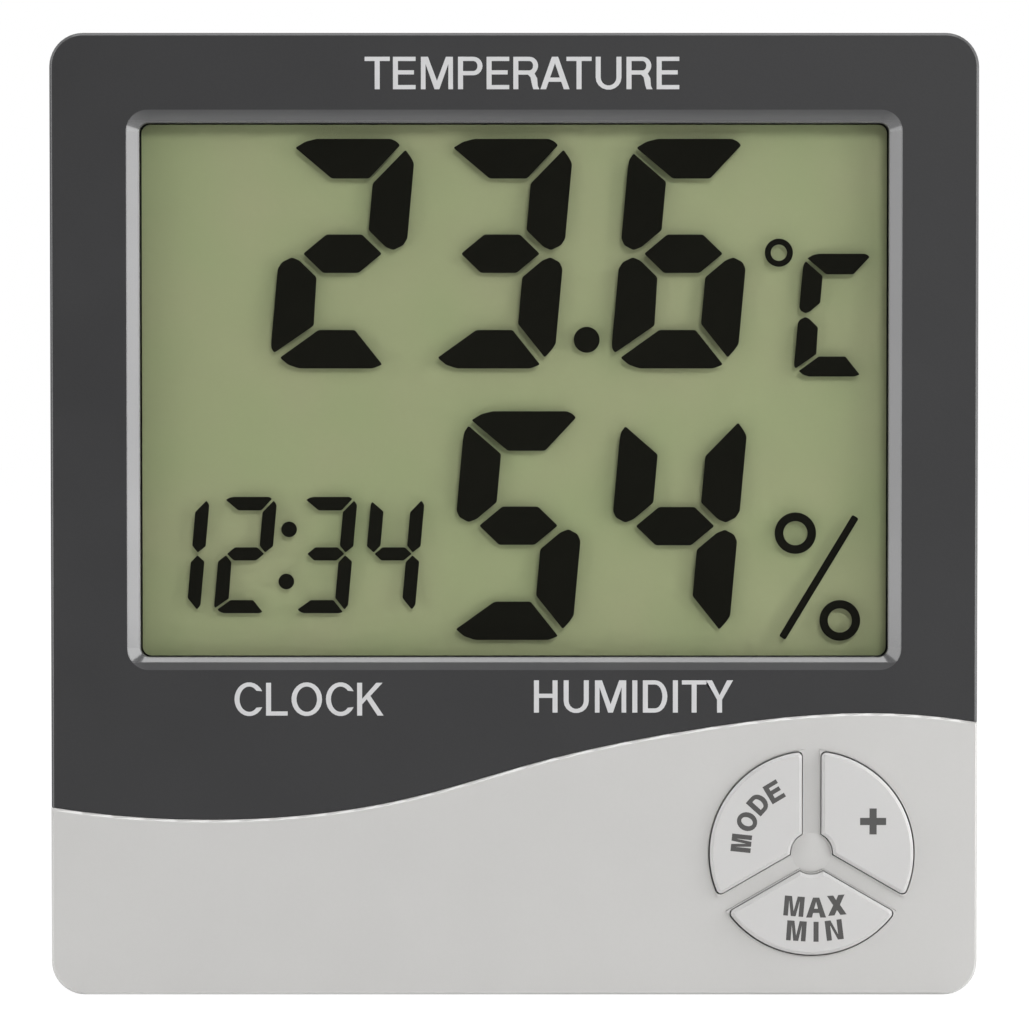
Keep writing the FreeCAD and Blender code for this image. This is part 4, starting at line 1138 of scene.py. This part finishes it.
world = bpy.data.worlds.new("studio")
bpy.context.scene.world = world
world.use_nodes = True
tree = world.node_tree
tree.nodes.clear()
output = tree.nodes.new("ShaderNodeOutputWorld")
direction = tree.nodes.new("ShaderNodeTexCoord").outputs["Generated"]
backward_share = spread(tree, axis_place(tree, direction, "Y"), 0.0, 1.0, -1.0, 1.0)


def level_ramp(stops):
    """Grey levels from in front of the case, at 0, to behind it, at 1."""
    greys = [(position, (level, level, level, 1.0)) for position, level in stops]
    return colour_ramp(tree, backward_share, greys, "EASE")


# Mirrored rays find a dim room behind the camera and the white backdrop on the other sides. The camera
# itself sees plain white.
mirrored_level = level_ramp([(0.0, 0.06), (0.12, 0.10), (0.45, 0.72), (0.6, 0.85)])
soft_level = level_ramp([(0.0, 0.24), (0.5, 0.27), (1.0, 0.31)])
level = blend_colours(tree, reaches(tree, "Glossy", "Transmission"), soft_level, mirrored_level)
level = blend_colours(tree, reaches(tree, "Camera"), level, WHITE)
background = tree.nodes.new("ShaderNodeBackground")
tree.links.new(level, background.inputs["Color"])
tree.links.new(background.outputs["Background"], output.inputs["Surface"])


def softbox(name, place, aim, width, height, brightness):
    """A rectangular lamp of this brightness, where 1 is as bright as white paper in the scene."""
    lamp = bpy.data.lights.new(name, "AREA")
    lamp.shape = "RECTANGLE"
    lamp.size = width
    lamp.size_y = height
    lamp.energy = brightness * math.pi * width * height
    holder = bpy.data.objects.new(name, lamp)
    holder.location = place
    toward = Vector(aim) - Vector(place)
    holder.rotation_euler = toward.to_track_quat("-Z", "Y").to_euler()
    holder.visible_camera = False
    bpy.context.scene.collection.objects.link(holder)


# Lamps, in metres. The window's left slope mirrors the right lamp, and its right slope the left one.
AIM = (0.0, 0.0, 0.05)
SIDE_AIM = (0.0, -0.14, 0.16)
softbox("key_lamp", (0.17, -0.80, 0.38), AIM, width=0.20, height=0.20, brightness=15.5)
softbox("right_lamp", (0.32, -0.14, 0.16), SIDE_AIM, width=0.32, height=0.30, brightness=2.75)
softbox("left_lamp", (-0.32, -0.14, 0.16), SIDE_AIM, width=0.32, height=0.30, brightness=1.45)
softbox("top_lamp", (0.0, -0.02, 0.90), AIM, width=0.80, height=0.30, brightness=2.4)
softbox("back_lamp_right", (0.55, 0.75, 0.50), AIM, width=0.5, height=0.5, brightness=2.9)
softbox("back_lamp_left", (-0.55, 0.75, 0.50), AIM, width=0.5, height=0.5, brightness=1.9)

# The camera looks at the middle of the case's front from nearly straight ahead
FRONT_PLANE = -11.0 * MM
VIEW_ACROSS = 0.03 * MM
VIEW_HEIGHT = 51.6 * MM
VIEW_DISTANCE = 385 * MM
VIEW_RISE = math.radians(1.5)
view_centre = Vector((VIEW_ACROSS, FRONT_PLANE, VIEW_HEIGHT))
camera_data = bpy.data.cameras.new("camera")
camera_data.sensor_width = 36.0
camera_data.lens = 126.2
camera_data.clip_start = 0.01
camera = bpy.data.objects.new("camera", camera_data)
backward = Vector((0.0, -math.cos(VIEW_RISE), math.sin(VIEW_RISE)))
camera.location = view_centre + backward * VIEW_DISTANCE
camera.rotation_euler = backward.to_track_quat("Z", "Y").to_euler()
bpy.context.scene.collection.objects.link(camera)
bpy.context.scene.camera = camera
bpy.context.scene.view_settings.view_transform = "Standard"
